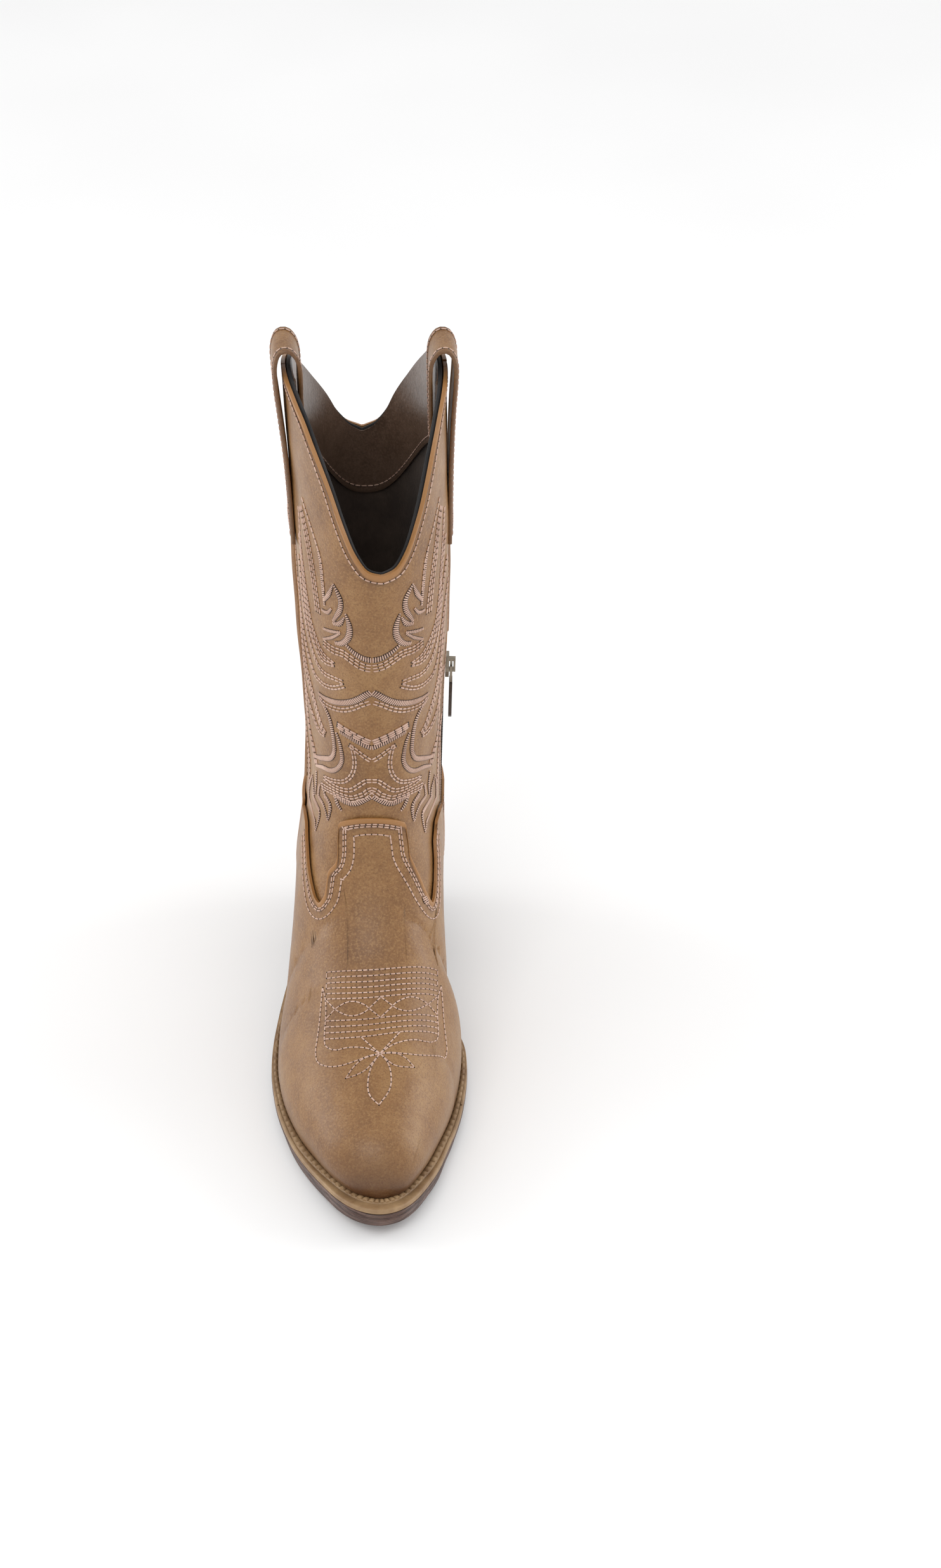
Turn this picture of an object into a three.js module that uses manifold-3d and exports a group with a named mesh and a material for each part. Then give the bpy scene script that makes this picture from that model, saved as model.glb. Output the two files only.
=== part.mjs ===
// A women's western boot for the right foot: mid-calf shaft with pull straps, a zip on the
// inner side, a welted sole and a stacked, underslung heel. Millimetres, +Z up, toe towards
// -Y, inner (zip) side towards +X. The origin is on the floor, under the middle of the boot.
import * as THREE from 'three';
import Module from 'manifold-3d';
import { mergeVertices } from 'three/addons/utils/BufferGeometryUtils.js';

// ---------------------------------------------------------------- driving dimensions
const SOLE_HALF_LENGTH = 142;
const SOLE_TAPER = { x: 0.955, y: 0.988 }; // the sole's edge leans in towards the floor
const GAP = 0.3; // clearance between pieces that meet
const WELT = { thick: 2.5, inner: 13.5, lip: 0.4 };
const LEATHER = 1.6; // every piece of upper leather
const LINING = { outer: -2.75, inner: -3.6 }; // of the shaft
const FOOT_LINING = { outer: -2.8, inner: -3.5 };
const FOXING = { outer: 2, inner: 0.9 }; // vamp and counter, outside the shaft
const SHAFT = { outer: 0, inner: -LEATHER };
const STIFFENER = { outer: -1, inner: -1.5 };
const FACING = { outer: -4.1, inner: -4.8 };
const BINDING = { outer: -2.2, inner: -4, deep: 5, proud: 0.4 };
const PIPING = { outer: 1.5, inner: 0.3, wide: 5 };
const ZIP = { y: 74, top: 194, bottom: 70, slot: 5.5, beyond: 5, tape: 13 };
const ZIP_TAPE = { outer: -2, inner: -2.4 };
const ZIP_GUARD = { outer: -4.1, inner: -4.8 };
const SLIDER = {
  length: 12, wide: 8.8, below: 1, plate: [1, 2.8], pivot: 3.9, arch: 6, archHalf: 1.3,
  archReach: 3.1,
};
const PULL = { link: 9, linkWide: 7, wire: 1.2, tab: 21, tabWide: 8, tabThick: 1.6 };
const SEAM_HALF_GAP = 0.35;
const SHAFT_SEAM_Y = 70; // outer side seam of the shaft
const FOXING_SEAM_Y = 62; // outer side seam between vamp and counter
const STRAP = { from: 57, to: 82, thick: 1.7 };
const HEEL = { breast: 75, lean: 4, lifts: 4, topPiece: 7, top: 0.955, floor: 0.8 };
const INSIDE = 5.5; // from the upper's base surface to the insole board inside it

// Outsole outline, outer side first, from the toe round the heel and back.
const OUTLINE = [
  [7.5, -142], [-3, -138.6], [-12.3, -130], [-21.4, -116], [-29.2, -102], [-35.9, -88],
  [-40.9, -74], [-44.8, -60], [-47.5, -45], [-49.2, -30], [-49.3, -15], [-48, 0],
  [-44.5, 20], [-39, 42], [-35, 65], [-33.5, 90], [-30.5, 114], [-22.5, 132], [-11.5, 140],
  [0, 142], [11.5, 140], [22, 132], [29.5, 115], [31.5, 92], [30, 70], [31, 48], [36, 24],
  [43, 2], [48, -12], [49.3, -26], [48.8, -42], [46.8, -60], [43.8, -75], [40.3, -88],
  [36.8, -102], [31.8, -116], [25.2, -130], [17.5, -138.8],
];
// Height of the feather line, where the upper meets the welt, along the boot.
const FEATHER = [
  [-142, 19.2], [-137, 18.6], [-120, 16], [-95, 12.8], [-60, 11.2], [-35, 11.2], [-10, 13.5],
  [15, 20], [40, 30], [62, 39.3], [80, 45], [100, 48.8], [120, 50.4], [142, 51],
];
// Height of the outsole's underside, from the toe spring to the heel seat.
const UNDERSIDE = [
  [-142, 8], [-120, 4.8], [-95, 1.4], [-65, 0], [-30, 0], [-10, 2], [15, 10], [40, 20.5],
  [60, 29], [75, 35], [142, 41.5],
];
// How far the upper's base surface stands in from the outline.
const MARGIN = [
  [-142, 11.9], [-125, 10.2], [-100, 8.4], [-75, 7.2], [-50, 6.2], [-20, 5.4], [20, 5],
  [60, 4.4], [90, 3.2], [142, 3],
];
// Ribs of the upper, from the toe over the instep and round the heel up to the collar. Each
// rib runs from the front line (front y, z) to the feather line or the back seam (back y, z):
// [front y, front z, back y, back z (null on the feather line), half width outer side, half
//  width inner side, front x, back x, squareness]
const RIBS = [
  [-130.1, 18.3, -130.1, null, 0, 0, 7.2, 7.2, 0.9],
  [-129.4, 25, -127, null, 9.7, 9.7, 7, 7, 0.9],
  [-126.5, 32.5, -121, null, 16.3, 15.2, 6.6, 6.5, 0.9],
  [-118, 41, -110, null, 24, 21, 6.2, 6, 0.9],
  [-102, 48, -95, null, 31, 27, 5.8, 5, 0.92],
  [-84, 54.5, -79, null, 37.4, 33.4, 5.4, 3.5, 0.93],
  [-63, 62, -60, null, 41.7, 38.9, 5, 1.5, 0.94],
  [-42, 71.5, -39, null, 43.9, 41, 4.8, 0.5, 0.95],
  [-23, 84, -16, null, 42.9, 40.3, 4.6, -0.5, 0.93],
  [-9, 99, 10, null, 40, 37.2, 4.1, -1.5, 0.9],
  [0, 113.5, 38, null, 37.3, 35.4, 3.5, -2, 0.88],
  [5, 126, 66, null, 36, 35, 3, -2, 0.86],
  [7.5, 136, 92, null, 36, 35, 2.8, -1.5, 0.86],
  [8.7, 143, 114, null, 35.3, 34.6, 2.8, -1, 0.86],
  [9.2, 148, 130, null, 34.7, 34, 2.8, -0.5, 0.86],
  [9.5, 153, 139, 51, 34.2, 33.7, 2.8, 0, 0.87],
  [9.7, 158, 139.6, 64, 34, 33.7, 2.9, 0.1, 0.88],
  [9.8, 164, 139.6, 82, 33.1, 33.9, 3, 0, 0.9],
  [9.8, 172, 137, 104, 32.6, 34.2, 3.1, -0.1, 0.94],
  [9.6, 182, 133.5, 130, 32.5, 34.7, 3.2, -0.2, 0.97],
  [9, 196, 131.5, 160, 33, 35.5, 3.4, -0.4, 1],
  [8.5, 214, 132.5, 190, 33.9, 36.5, 3.8, -0.8, 1],
  [7.5, 236, 134.5, 221, 34.6, 37.4, 4.3, -1.3, 1],
  [6.8, 260, 136.5, 252, 35.2, 38, 4.9, -2, 1],
  [6, 285, 138, 282, 35.9, 38.1, 5.5, -2.7, 1],
  [5, 310, 139.3, 310, 36.7, 38.1, 6, -3.5, 1],
  [4.5, 338, 140.2, 338, 37.9, 38.4, 6, -4, 1],
  [4, 366, 140.6, 366, 38.8, 38.7, 6, -4, 1],
];
const HEEL_RIB = 15; // from this rib on, the ribs end on the back seam
// Collar height round the top: [way round from the front line 0 to the back seam 1, z]
const COLLAR = [
  [0, 279], [0.056, 281], [0.111, 289], [0.167, 304], [0.222, 322], [0.278, 337],
  [0.333, 348], [0.417, 355], [0.5, 356.5], [0.583, 353], [0.667, 341], [0.75, 325.5],
  [0.823, 311], [0.87, 300], [0.9, 295], [0.94, 289.8], [1, 286.2],
];
const COLLAR_TURN = 0.04; // the front dip sits a little to the inner side
// Upper edge of the vamp: [way round, rib], a tongue, a low point and a wing on each side.
const VAMP_EDGE = [
  [-1, 15.8], [-0.5, 15.6], [-0.485, 14.9], [-0.465, 13.9], [-0.45, 12.9], [-0.425, 11.3],
  [-0.4, 10.3], [-0.378, 9.75], [-0.352, 9.55], [-0.305, 9.65], [-0.28, 9.9],
  [-0.252, 10.3], [-0.2, 10.5], [-0.178, 10.9], [-0.168, 12.1], [-0.157, 12.4], [0, 12.6],
  [0.17, 12.4], [0.181, 12.1], [0.19, 10.95], [0.216, 10.6], [0.271, 10.2],
  [0.334, 9.85], [0.4, 9.7], [0.425, 9.95], [0.445, 11.3], [0.46, 13.4], [0.475, 15.4],
  [1, 15.8],
];

// ---------------------------------------------------------------- curves
const lerp = (a, b, k) => a + (b - a) * k;
const clamp = THREE.MathUtils.clamp;

// Smooth curve through [x, y] rows that never overshoots them.
function through(rows) {
  const last = rows.length - 1;
  const slope = (i) => (rows[i + 1][1] - rows[i][1]) / (rows[i + 1][0] - rows[i][0]);
  const tangent = (i) => {
    if (i === 0) return slope(0);
    if (i === last) return slope(last - 1);
    const a = slope(i - 1);
    const b = slope(i);
    return a * b <= 0 ? 0 : (2 * a * b) / (a + b);
  };
  return (x) => {
    const at = clamp(x, rows[0][0], rows[last][0]);
    let i = 0;
    while (i < last - 1 && at > rows[i + 1][0]) i += 1;
    const h = rows[i + 1][0] - rows[i][0];
    const k = (at - rows[i][0]) / h;
    const k2 = k * k;
    const k3 = k2 * k;
    return (2 * k3 - 3 * k2 + 1) * rows[i][1] + (k3 - 2 * k2 + k) * h * tangent(i)
      + (3 * k2 - 2 * k3) * rows[i + 1][1] + (k3 - k2) * h * tangent(i + 1);
  };
}

// The value between low and high where rising(value) becomes zero or more.
function solve(rising, low, high) {
  let a = low;
  let b = high;
  for (let i = 0; i < 40; i += 1) {
    const middle = (a + b) / 2;
    if (rising(middle) < 0) a = middle;
    else b = middle;
  }
  return (a + b) / 2;
}

const featherHeight = through(FEATHER);
const underside = through(UNDERSIDE);
const margin = through(MARGIN);
const collarHeight = through(COLLAR);
const vampEdge = through(VAMP_EDGE);

// ---------------------------------------------------------------- outline of the sole
const outlineCurve = new THREE.CatmullRomCurve3(
  OUTLINE.map(([x, y]) => new THREE.Vector3(x, y, 0)), true, 'catmullrom', 0.5,
);

// Points round the outline, moved in by a distance that may depend on y.
function insetOutline(count, distance) {
  const points = [];
  for (let i = 0; i < count; i += 1) {
    const at = outlineCurve.getPoint(i / count);
    const along = outlineCurve.getTangent(i / count);
    const inwards = distance(at.y);
    points.push([at.x + along.y * inwards, at.y - along.x * inwards]);
  }
  return points;
}

// x of the inset outline at y, on one side (-1 outer, +1 inner), and the ends along y.
function outlineSides(distance) {
  const points = insetOutline(OUTLINE.length * 8, distance);
  const toe = points.reduce((best, p, i) => (p[1] < points[best][1] ? i : best), 0);
  const heel = points.reduce((best, p, i) => (p[1] > points[best][1] ? i : best), 0);
  const run = (from, to) => {
    const rows = [];
    for (let i = from; i !== to; i = (i + 1) % points.length) rows.push(points[i]);
    rows.push(points[to]);
    return rows;
  };
  const outer = run(toe, heel);
  const inner = run(heel, toe).reverse();
  const xAt = (rows, y) => {
    let i = 0;
    while (i < rows.length - 2 && y > rows[i + 1][1]) i += 1;
    const k = (y - rows[i][1]) / (rows[i + 1][1] - rows[i][1] || 1);
    return lerp(rows[i][0], rows[i + 1][0], clamp(k, 0, 1));
  };
  return { x: (y, side) => xAt(side < 0 ? outer : inner, y), toe: outer[0][1],
    heel: inner[inner.length - 1][1] };
}

const featherLine = outlineSides(margin);

// ---------------------------------------------------------------- surface of the upper
function rib(t) {
  const at = clamp(t, 0, RIBS.length - 1);
  const i = Math.min(Math.floor(at), RIBS.length - 2);
  const row = (j) => {
    const r = [...RIBS[clamp(j, 0, RIBS.length - 1)]];
    if (r[3] === null) r[3] = featherHeight(r[2]);
    return r;
  };
  const [r0, r1, r2, r3] = [row(i - 1), row(i), row(i + 1), row(i + 2)];
  const k = at - i;
  return r1.map((value, j) => {
    const before = i === 0 ? 2 * r1[j] - r2[j] : r0[j];
    const after = i === RIBS.length - 2 ? 2 * r2[j] - r1[j] : r3[j];
    return 0.5 * (2 * value + (r2[j] - before) * k
      + (2 * before - 5 * value + 4 * r2[j] - after) * k * k
      + (3 * value - before - 3 * r2[j] + after) * k * k * k);
  });
}

// A place on the upper's base surface. round is the way round: 0 on the front line, -1 and +1
// on the feather line or the back seam, negative on the outer side.
function surface(t, round) {
  const v = round > 1 ? round - 2 : round < -1 ? round + 2 : round;
  const side = v < 0 ? -1 : 1;
  const [frontY, frontZ, backY, backZ, outerHalf, innerHalf, frontX, backX, square] = rib(t);
  let half = side < 0 ? outerHalf : innerHalf;
  let feather = 0;
  if (t < HEEL_RIB && backY < featherLine.heel) {
    feather = Math.max(0, side * (featherLine.x(backY, side) - backX));
  }
  half = Math.max(half, feather * 1.001, 1e-6);
  const full = Math.PI - Math.asin((feather / half) ** (1 / square));
  const angle = Math.abs(v) * full;
  const way = (1 - Math.cos(angle)) / (1 - Math.cos(full));
  const out = half * Math.abs(Math.sin(angle)) ** square * Math.sign(Math.sin(angle));
  return new THREE.Vector3(
    lerp(frontX, backX, way) + side * out, lerp(frontY, backY, way), lerp(frontZ, backZ, way),
  );
}

function outward(t, round) {
  if (t < 0.02) return new THREE.Vector3(0, -1, 0);
  const step = 2e-3;
  const closedBack = t - step >= HEEL_RIB;
  const low = closedBack ? round - step : Math.max(round - step, -1);
  const high = closedBack ? round + step : Math.min(round + step, 1);
  const across = surface(t, high).sub(surface(t, low));
  const up = surface(Math.min(t + step, RIBS.length - 1), round).sub(surface(t - step, round));
  return across.cross(up).normalize();
}

// A point off the surface. Nothing of the upper reaches below the feather line.
function offsetPoint(t, round, offset) {
  const point = surface(t, round).addScaledVector(outward(t, round), offset);
  const floor = featherHeight(point.y) + 0.2;
  const onFeather = t < HEEL_RIB && Math.abs(round) > 0.999;
  point.z = onFeather ? floor : Math.max(point.z, floor);
  return point;
}

// The way round on a rib where the surface reaches y.
const roundAtY = (t, y, side) => side * solve((v) => surface(t, side * v).y - y, 0, 1);
// The rib at a way round where the surface reaches z, above the heel.
const ribAtZ = (round, z) => solve((t) => surface(t, round).z - z, HEEL_RIB, RIBS.length - 1);

const collarRound = (round) => Math.abs(round - COLLAR_TURN * (1 - Math.abs(round)));
const collarRib = (round, below) => ribAtZ(round, collarHeight(collarRound(round)) - below);

// ---------------------------------------------------------------- solids from grids
// Joins two equal grids of points into one closed solid; a ring has its columns closed.
function solidBetween(outer, inner, ring = false) {
  const positions = [];
  const seen = new Map();
  const indexOf = (p) => {
    const key = `${Math.round(p.x * 5e3)},${Math.round(p.y * 5e3)},${Math.round(p.z * 5e3)}`;
    if (!seen.has(key)) {
      seen.set(key, positions.length / 3);
      positions.push(p.x, p.y, p.z);
    }
    return seen.get(key);
  };
  const a = outer.map((row) => row.map(indexOf));
  const b = inner.map((row) => row.map(indexOf));
  const faces = [];
  const face = (i, j, k) => {
    if (i !== j && j !== k && k !== i) faces.push(i, j, k);
  };
  const quad = (i, j, k, l) => {
    face(i, j, k);
    face(i, k, l);
  };
  const rows = a.length;
  const columns = a[0].length;
  const next = (c) => (ring ? (c + 1) % columns : c + 1);
  for (let r = 0; r < rows - 1; r += 1) {
    for (let c = 0; c < (ring ? columns : columns - 1); c += 1) {
      quad(a[r][c], a[r][next(c)], a[r + 1][next(c)], a[r + 1][c]);
      quad(b[r][c], b[r + 1][c], b[r + 1][next(c)], b[r][next(c)]);
    }
    if (!ring) {
      quad(a[r][0], a[r + 1][0], b[r + 1][0], b[r][0]);
      quad(a[r][columns - 1], b[r][columns - 1], b[r + 1][columns - 1], a[r + 1][columns - 1]);
    }
  }
  for (let c = 0; c < (ring ? columns : columns - 1); c += 1) {
    quad(a[0][c], b[0][c], b[0][next(c)], a[0][next(c)]);
    quad(a[rows - 1][c], a[rows - 1][next(c)], b[rows - 1][next(c)], b[rows - 1][c]);
  }
  if (signedVolume(positions, faces) < 0) faces.reverse();
  const geometry = new THREE.BufferGeometry();
  geometry.setAttribute('position', new THREE.Float32BufferAttribute(positions, 3));
  geometry.setIndex(faces);
  return geometry;
}

function signedVolume(positions, faces) {
  const at = (i) => new THREE.Vector3(...positions.slice(3 * i, 3 * i + 3));
  let sum = 0;
  for (let i = 0; i < faces.length; i += 3) {
    sum += at(faces[i]).dot(at(faces[i + 1]).cross(at(faces[i + 2])));
  }
  return sum;
}

const steps = (count) => Array.from({ length: count + 1 }, (_, i) => i / count);

// A shell of leather over the surface. place(across, up) gives [rib, way round].
function shell(place, across, up, layer, ring = false) {
  const rows = up.map((u) => across.map((a) => place(a, u)));
  const grid = (offset) => rows.map((row) => row.map(([t, v]) => offsetPoint(t, v, offset)));
  return solidBetween(grid(layer.outer), grid(layer.inner), ring);
}

// ---------------------------------------------------------------- seams
// How open the zip's slot is on a rib, from 0 to 1.
function zipOpen(t) {
  const { z } = surface(t, roundAtY(t, ZIP.y, 1));
  const { smoothstep } = THREE.MathUtils;
  const low = ZIP.bottom - ZIP.beyond;
  const high = ZIP.top + 2 * ZIP.beyond;
  return smoothstep(z, low - ZIP.beyond, low) * (1 - smoothstep(z, high, high + ZIP.beyond));
}
// The way round on a rib, beside the zip: side -1 is in front of it and +1 behind it.
const zipRound = (t, side, half = ZIP.slot) => roundAtY(
  t, ZIP.y + side * lerp(SEAM_HALF_GAP, half, zipOpen(t)), 1,
);
const sideRound = (t, beyond) => roundAtY(t, SHAFT_SEAM_Y + beyond, -1);

// The last rib of the vamp at a way round: its upper edge, or its side seam.
function vampEnd(round) {
  const seam = (t) => (round < 0 ? FOXING_SEAM_Y - SEAM_HALF_GAP
    : ZIP.y - lerp(SEAM_HALF_GAP, ZIP.slot, zipOpen(t)));
  if (Math.abs(round) < 0.46) return vampEdge(round);
  const atSeam = solve((t) => surface(t, round).y - seam(t), 8, HEEL_RIB + 0.5);
  return Math.min(vampEdge(round), atSeam);
}

// ---------------------------------------------------------------- upper
const VAMP_COLUMNS = [
  -1, -0.9, -0.8, -0.7, -0.6, -0.52, -0.485, -0.45, -0.425, -0.4, -0.352, -0.305, -0.252,
  -0.2, -0.178, -0.168, -0.157, -0.08, 0, 0.09, 0.17, 0.181, 0.19, 0.216, 0.271, 0.334, 0.37,
  0.4, 0.412, 0.425, 0.435, 0.445, 0.452, 0.46, 0.467, 0.475, 0.52, 0.6, 0.7, 0.8, 0.9, 1,
];
const VAMP_ROWS = [
  0, 0.03, 0.09, 0.17, 0.26, 0.36, 0.46, 0.56, 0.66, 0.76, 0.85, 0.92, 0.965, 1,
];

const vamp = () => shell((v, u) => [vampEnd(v) * u, v], VAMP_COLUMNS, VAMP_ROWS, FOXING);

const toePuff = () => shell(
  (v, u) => [lerp(0, 4.6, u), v], steps(16).map((k) => 2 * k - 1),
  [0, 0.06, 0.18, 0.36, 0.56, 0.78, 1], STIFFENER,
);

// Where the foot lining ends and the shaft's lining begins in front, as a rib.
const liningSplit = (round) => 9.4 + 5 * THREE.MathUtils.smoothstep(Math.abs(round), 0.3, 0.5);
const LINING_SEAM_Y = { outer: 65.5, inner: ZIP.y - ZIP.tape - 1 };
const LINING_ROWS = [0, 0.03, 0.09, 0.18, 0.3, 0.43, 0.56, 0.69, 0.8, 0.9, 1];

function vampLining() {
  const end = (v) => {
    const y = v < 0 ? LINING_SEAM_Y.outer : LINING_SEAM_Y.inner;
    const split = liningSplit(v) - 0.2;
    return Math.abs(v) < 0.45 ? split : Math.min(split, solve((t) => surface(t, v).y - y, 8, 15));
  };
  return shell((v, u) => [end(v) * u, v], steps(26).map((k) => 2 * k - 1), LINING_ROWS,
    FOOT_LINING);
}

// A cup round the heel, from the feather line up. seam(t, side) gives the way round of its
// front edges, footY(side) where they meet the feather line, seamTop(side) their last rib and
// top(far, round) the last rib, with far from 0 at the back to 1 at the edges.
function heelCup({ seam, footY, seamTop, top, layer, columns, rows }) {
  const edges = [-1, 1].map((side) => {
    const foot = solve((t) => surface(t, side).y - footY(side), 9, HEEL_RIB);
    return { side, foot, last: seamTop(side) };
  });
  const place = (along, up) => {
    const { side, foot, last } = edges[along < 0 ? 0 : 1];
    const far = Math.abs(along);
    const full = 1 - Math.abs(seam(last, side));
    const topRound = 1 - far * full;
    const atSeam = 1 - Math.abs(seam(lerp(foot, last, up), side));
    const t = lerp(lerp(HEEL_RIB, foot, far), top(far, side * topRound), up);
    return [t, side * (1 - (atSeam * (1 - topRound)) / full)];
  };
  return shell(place, steps(columns).map((k) => 2 * k - 1), steps(rows), layer);
}

function counterCover() {
  const seam = (t, side) => (side < 0 ? roundAtY(t, FOXING_SEAM_Y + SEAM_HALF_GAP, -1)
    : zipRound(t, 1));
  const height = (far) => 118 - 5 * Math.sin((far * Math.PI) / 2);
  return heelCup({
    seam,
    footY: (side) => (side < 0 ? FOXING_SEAM_Y : ZIP.y) + SEAM_HALF_GAP,
    seamTop: (side) => solve((t) => surface(t, seam(t, side)).z - height(1), HEEL_RIB, 20),
    top: (far, round) => ribAtZ(round, height(far)),
    layer: FOXING, columns: 24, rows: 6,
  });
}

const behindZip = ZIP.y + ZIP.tape + 1;
const heelCounter = () => heelCup({
  seam: (t, side) => roundAtY(t, side < 0 ? FOXING_SEAM_Y + 6 : behindZip, side),
  footY: (side) => (side < 0 ? FOXING_SEAM_Y + 6 : behindZip),
  seamTop: () => 14.5,
  top: (far) => 17 - 2.5 * far ** 1.5,
  layer: STIFFENER, columns: 20, rows: 4,
});

const heelLining = () => heelCup({
  seam: (t, side) => roundAtY(t, side < 0 ? LINING_SEAM_Y.outer + 0.7 : behindZip, side),
  footY: (side) => (side < 0 ? LINING_SEAM_Y.outer + 0.7 : behindZip),
  seamTop: () => 14.5,
  top: (far) => 17.6 - 3.1 * far ** 1.5,
  layer: FOOT_LINING, columns: 20, rows: 5,
});

// A piece of the shaft between two edges that depend on the rib, up to the collar line.
function shaftPiece({ left, right, lowest, below, layer, columns, rows }) {
  const place = (across, up) => {
    const bottom = lowest(across);
    let top = 24;
    for (let i = 0; i < 8; i += 1) top = collarRib(lerp(left(top), right(top), across), below);
    const t = lerp(bottom, top, up);
    return [t, lerp(left(t), right(t), across)];
  };
  // The rows are closer together low down, where the instep curves.
  return shell(place, steps(columns), steps(rows).map((k) => k ** 1.5), layer);
}
// The back pieces reach lower at their sides than at the back seam.
const backLowest = (middle, drop) => (across) => middle - drop * Math.abs(2 * across - 1) ** 1.5;

const frontPanel = () => shaftPiece({
  left: (t) => Math.max(-0.5, sideRound(t, -SEAM_HALF_GAP)),
  right: (t) => Math.min(0.5, zipRound(t, -1)),
  lowest: (across) => 9.2 + THREE.MathUtils.smoothstep(Math.abs(2 * across - 1), 0.7, 1),
  below: 0, layer: SHAFT, columns: 18, rows: 15,
});
const backPanel = () => shaftPiece({
  left: (t) => zipRound(t, 1),
  right: (t) => 2 + sideRound(t, SEAM_HALF_GAP),
  lowest: backLowest(17.4, 2.2), below: 0, layer: SHAFT, columns: 18, rows: 11,
});
const frontLining = () => shaftPiece({
  left: (t) => Math.max(-0.5, sideRound(t, -SEAM_HALF_GAP)),
  right: (t) => Math.min(0.5, zipRound(t, -1)),
  lowest: (across) => liningSplit(across - 0.5) + 0.2,
  below: 6, layer: LINING, columns: 18, rows: 13,
});
const backLining = () => shaftPiece({
  left: (t) => zipRound(t, 1),
  right: (t) => 2 + sideRound(t, SEAM_HALF_GAP),
  lowest: backLowest(18, 2.8), below: 6, layer: LINING, columns: 18, rows: 10,
});

// Leather facing inside the back of the collar: its rounded lower edge hangs lowest at the
// back and climbs to both sides.
const FACING_EDGE = { low: 251.5, rise: 62, reach: 0.55, bend: 2.5 };
const facingLow = (across) => {
  const aside = Math.abs(2 * across - 1) / FACING_EDGE.reach;
  return FACING_EDGE.low + FACING_EDGE.rise * (1 - Math.exp(-(aside ** FACING_EDGE.bend)));
};
const facing = () => shell((across, up) => {
  const v = lerp(0.42, 1.58, across);
  return [lerp(ribAtZ(v, facingLow(across)), collarRib(v > 1 ? v - 2 : v, 6), up), v];
}, steps(20), steps(4), FACING);

// Binding round the whole collar, between the folded leather and the lining.
const collarBinding = () => shell(
  (v, u) => [collarRib(v, lerp(BINDING.deep, -BINDING.proud, u)), v],
  steps(44).slice(1).map((k) => 2 * k - 1), [0, 1], BINDING, true,
);

// Piping over a side seam of the shaft, between two heights.
const piping = (side, seamY, from, to) => shell((across, up) => {
  const z = lerp(from, to, up);
  const middle = (t) => surface(t, roundAtY(t, seamY, side)).z - z;
  const t = solve(middle, HEEL_RIB, RIBS.length - 1);
  return [t, roundAtY(t, seamY + PIPING.wide * (across - 0.5), side)];
}, steps(2), steps(8), PIPING);

// A pull strap over the collar, looped from outside to inside: [off the shaft, z] of its
// middle from its sewn outer end to its sewn inner end.
const STRAP_LINE = [
  [1.6, 266], [1.7, 285], [2.2, 310], [3.2, 335], [4.3, 352], [4.4, 361], [2.6, 367.2],
  [-1, 369], [-4.6, 366.8], [-7.1, 360], [-7.3, 345], [-6.9, 322], [-6.5, 302],
];
function pullStrap(side) {
  const line = new THREE.SplineCurve(STRAP_LINE.map(([off, z]) => new THREE.Vector2(off, z)));
  const wall = (y, z) => {
    const t = solve((u) => surface(u, roundAtY(u, y, side)).z - Math.min(z, 345), 20, 27);
    return surface(t, roundAtY(t, y, side)).x;
  };
  const grid = (offset) => steps(22).map((k) => {
    const at = line.getPoint(k);
    const along = line.getTangent(k);
    const off = at.x + along.y * offset;
    const z = at.y - along.x * offset;
    return steps(3).map((a) => {
      const y = lerp(STRAP.from, STRAP.to, a);
      return new THREE.Vector3(wall(y, z) + side * off, y, z);
    });
  });
  return solidBetween(grid(STRAP.thick / 2), grid(-STRAP.thick / 2));
}

// ---------------------------------------------------------------- zip
const zipPoint = (z) => {
  const t = solve((u) => surface(u, roundAtY(u, ZIP.y, 1)).z - z, 11.4, 24);
  return surface(t, roundAtY(t, ZIP.y, 1));
};
const zipTop = zipPoint(ZIP.top);
const zipAlong = zipTop.clone().sub(zipPoint(ZIP.bottom));
const zipLength = zipAlong.length();
zipAlong.normalize();

// Everything of metal on the zip is placed in its own frame: x outwards, y across, z up.
const zip = new THREE.Group();
zip.quaternion.setFromRotationMatrix(new THREE.Matrix4().makeBasis(
  new THREE.Vector3(zipAlong.z, 0, -zipAlong.x), new THREE.Vector3(0, 1, 0), zipAlong,
));
zip.position.copy(zipTop);

const outlineShape = (points) => new THREE.Shape(points.map(([x, y]) => new THREE.Vector2(x, y)));
const extrude = (points, depth) => new THREE.ExtrudeGeometry(
  outlineShape(points), { depth, bevelEnabled: false },
);
const box = (x, y, z) => new THREE.BoxGeometry(x[1] - x[0], y[1] - y[0], z[1] - z[0])
  .translate((x[0] + x[1]) / 2, (y[0] + y[1]) / 2, (z[0] + z[1]) / 2);

const zipTeeth = (side) => extrude(
  [[-1.3, 0.15], [0.7, 0.15], [0.7, 2.1], [0.3, 2.7], [-1.3, 2.7]].map(([x, y]) => [x, side * y]),
  zipLength,
).translate(0, 0, -zipLength);

const zipTape = (side) => shell((across, up) => {
  const t = lerp(12.1, 20.9, up);
  return [t, roundAtY(t, ZIP.y + side * lerp(SEAM_HALF_GAP, ZIP.tape, across), 1)];
}, steps(3), steps(12), ZIP_TAPE);

const zipGuard = () => shell((across, up) => {
  const t = lerp(12.3, 20.7, up);
  return [t, roundAtY(t, ZIP.y + lerp(-ZIP.tape + 1, ZIP.tape - 1, across), 1)];
}, steps(3), steps(10), ZIP_GUARD);

const zipStop = (low) => box([-1.3, 0.8], [-2.9, 2.9], [low, low + 3]);

// ---------------------------------------------------------------- joining solids
const wasm = await Module();
wasm.setup();

function toManifold(geometry) {
  const bare = geometry.clone();
  Object.keys(bare.attributes).filter((name) => name !== 'position')
    .forEach((name) => bare.deleteAttribute(name));
  const merged = mergeVertices(bare, 1e-4);
  return new wasm.Manifold(new wasm.Mesh({
    numProp: 3, vertProperties: merged.attributes.position.array,
    triVerts: new Uint32Array(merged.index.array),
  }));
}

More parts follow.
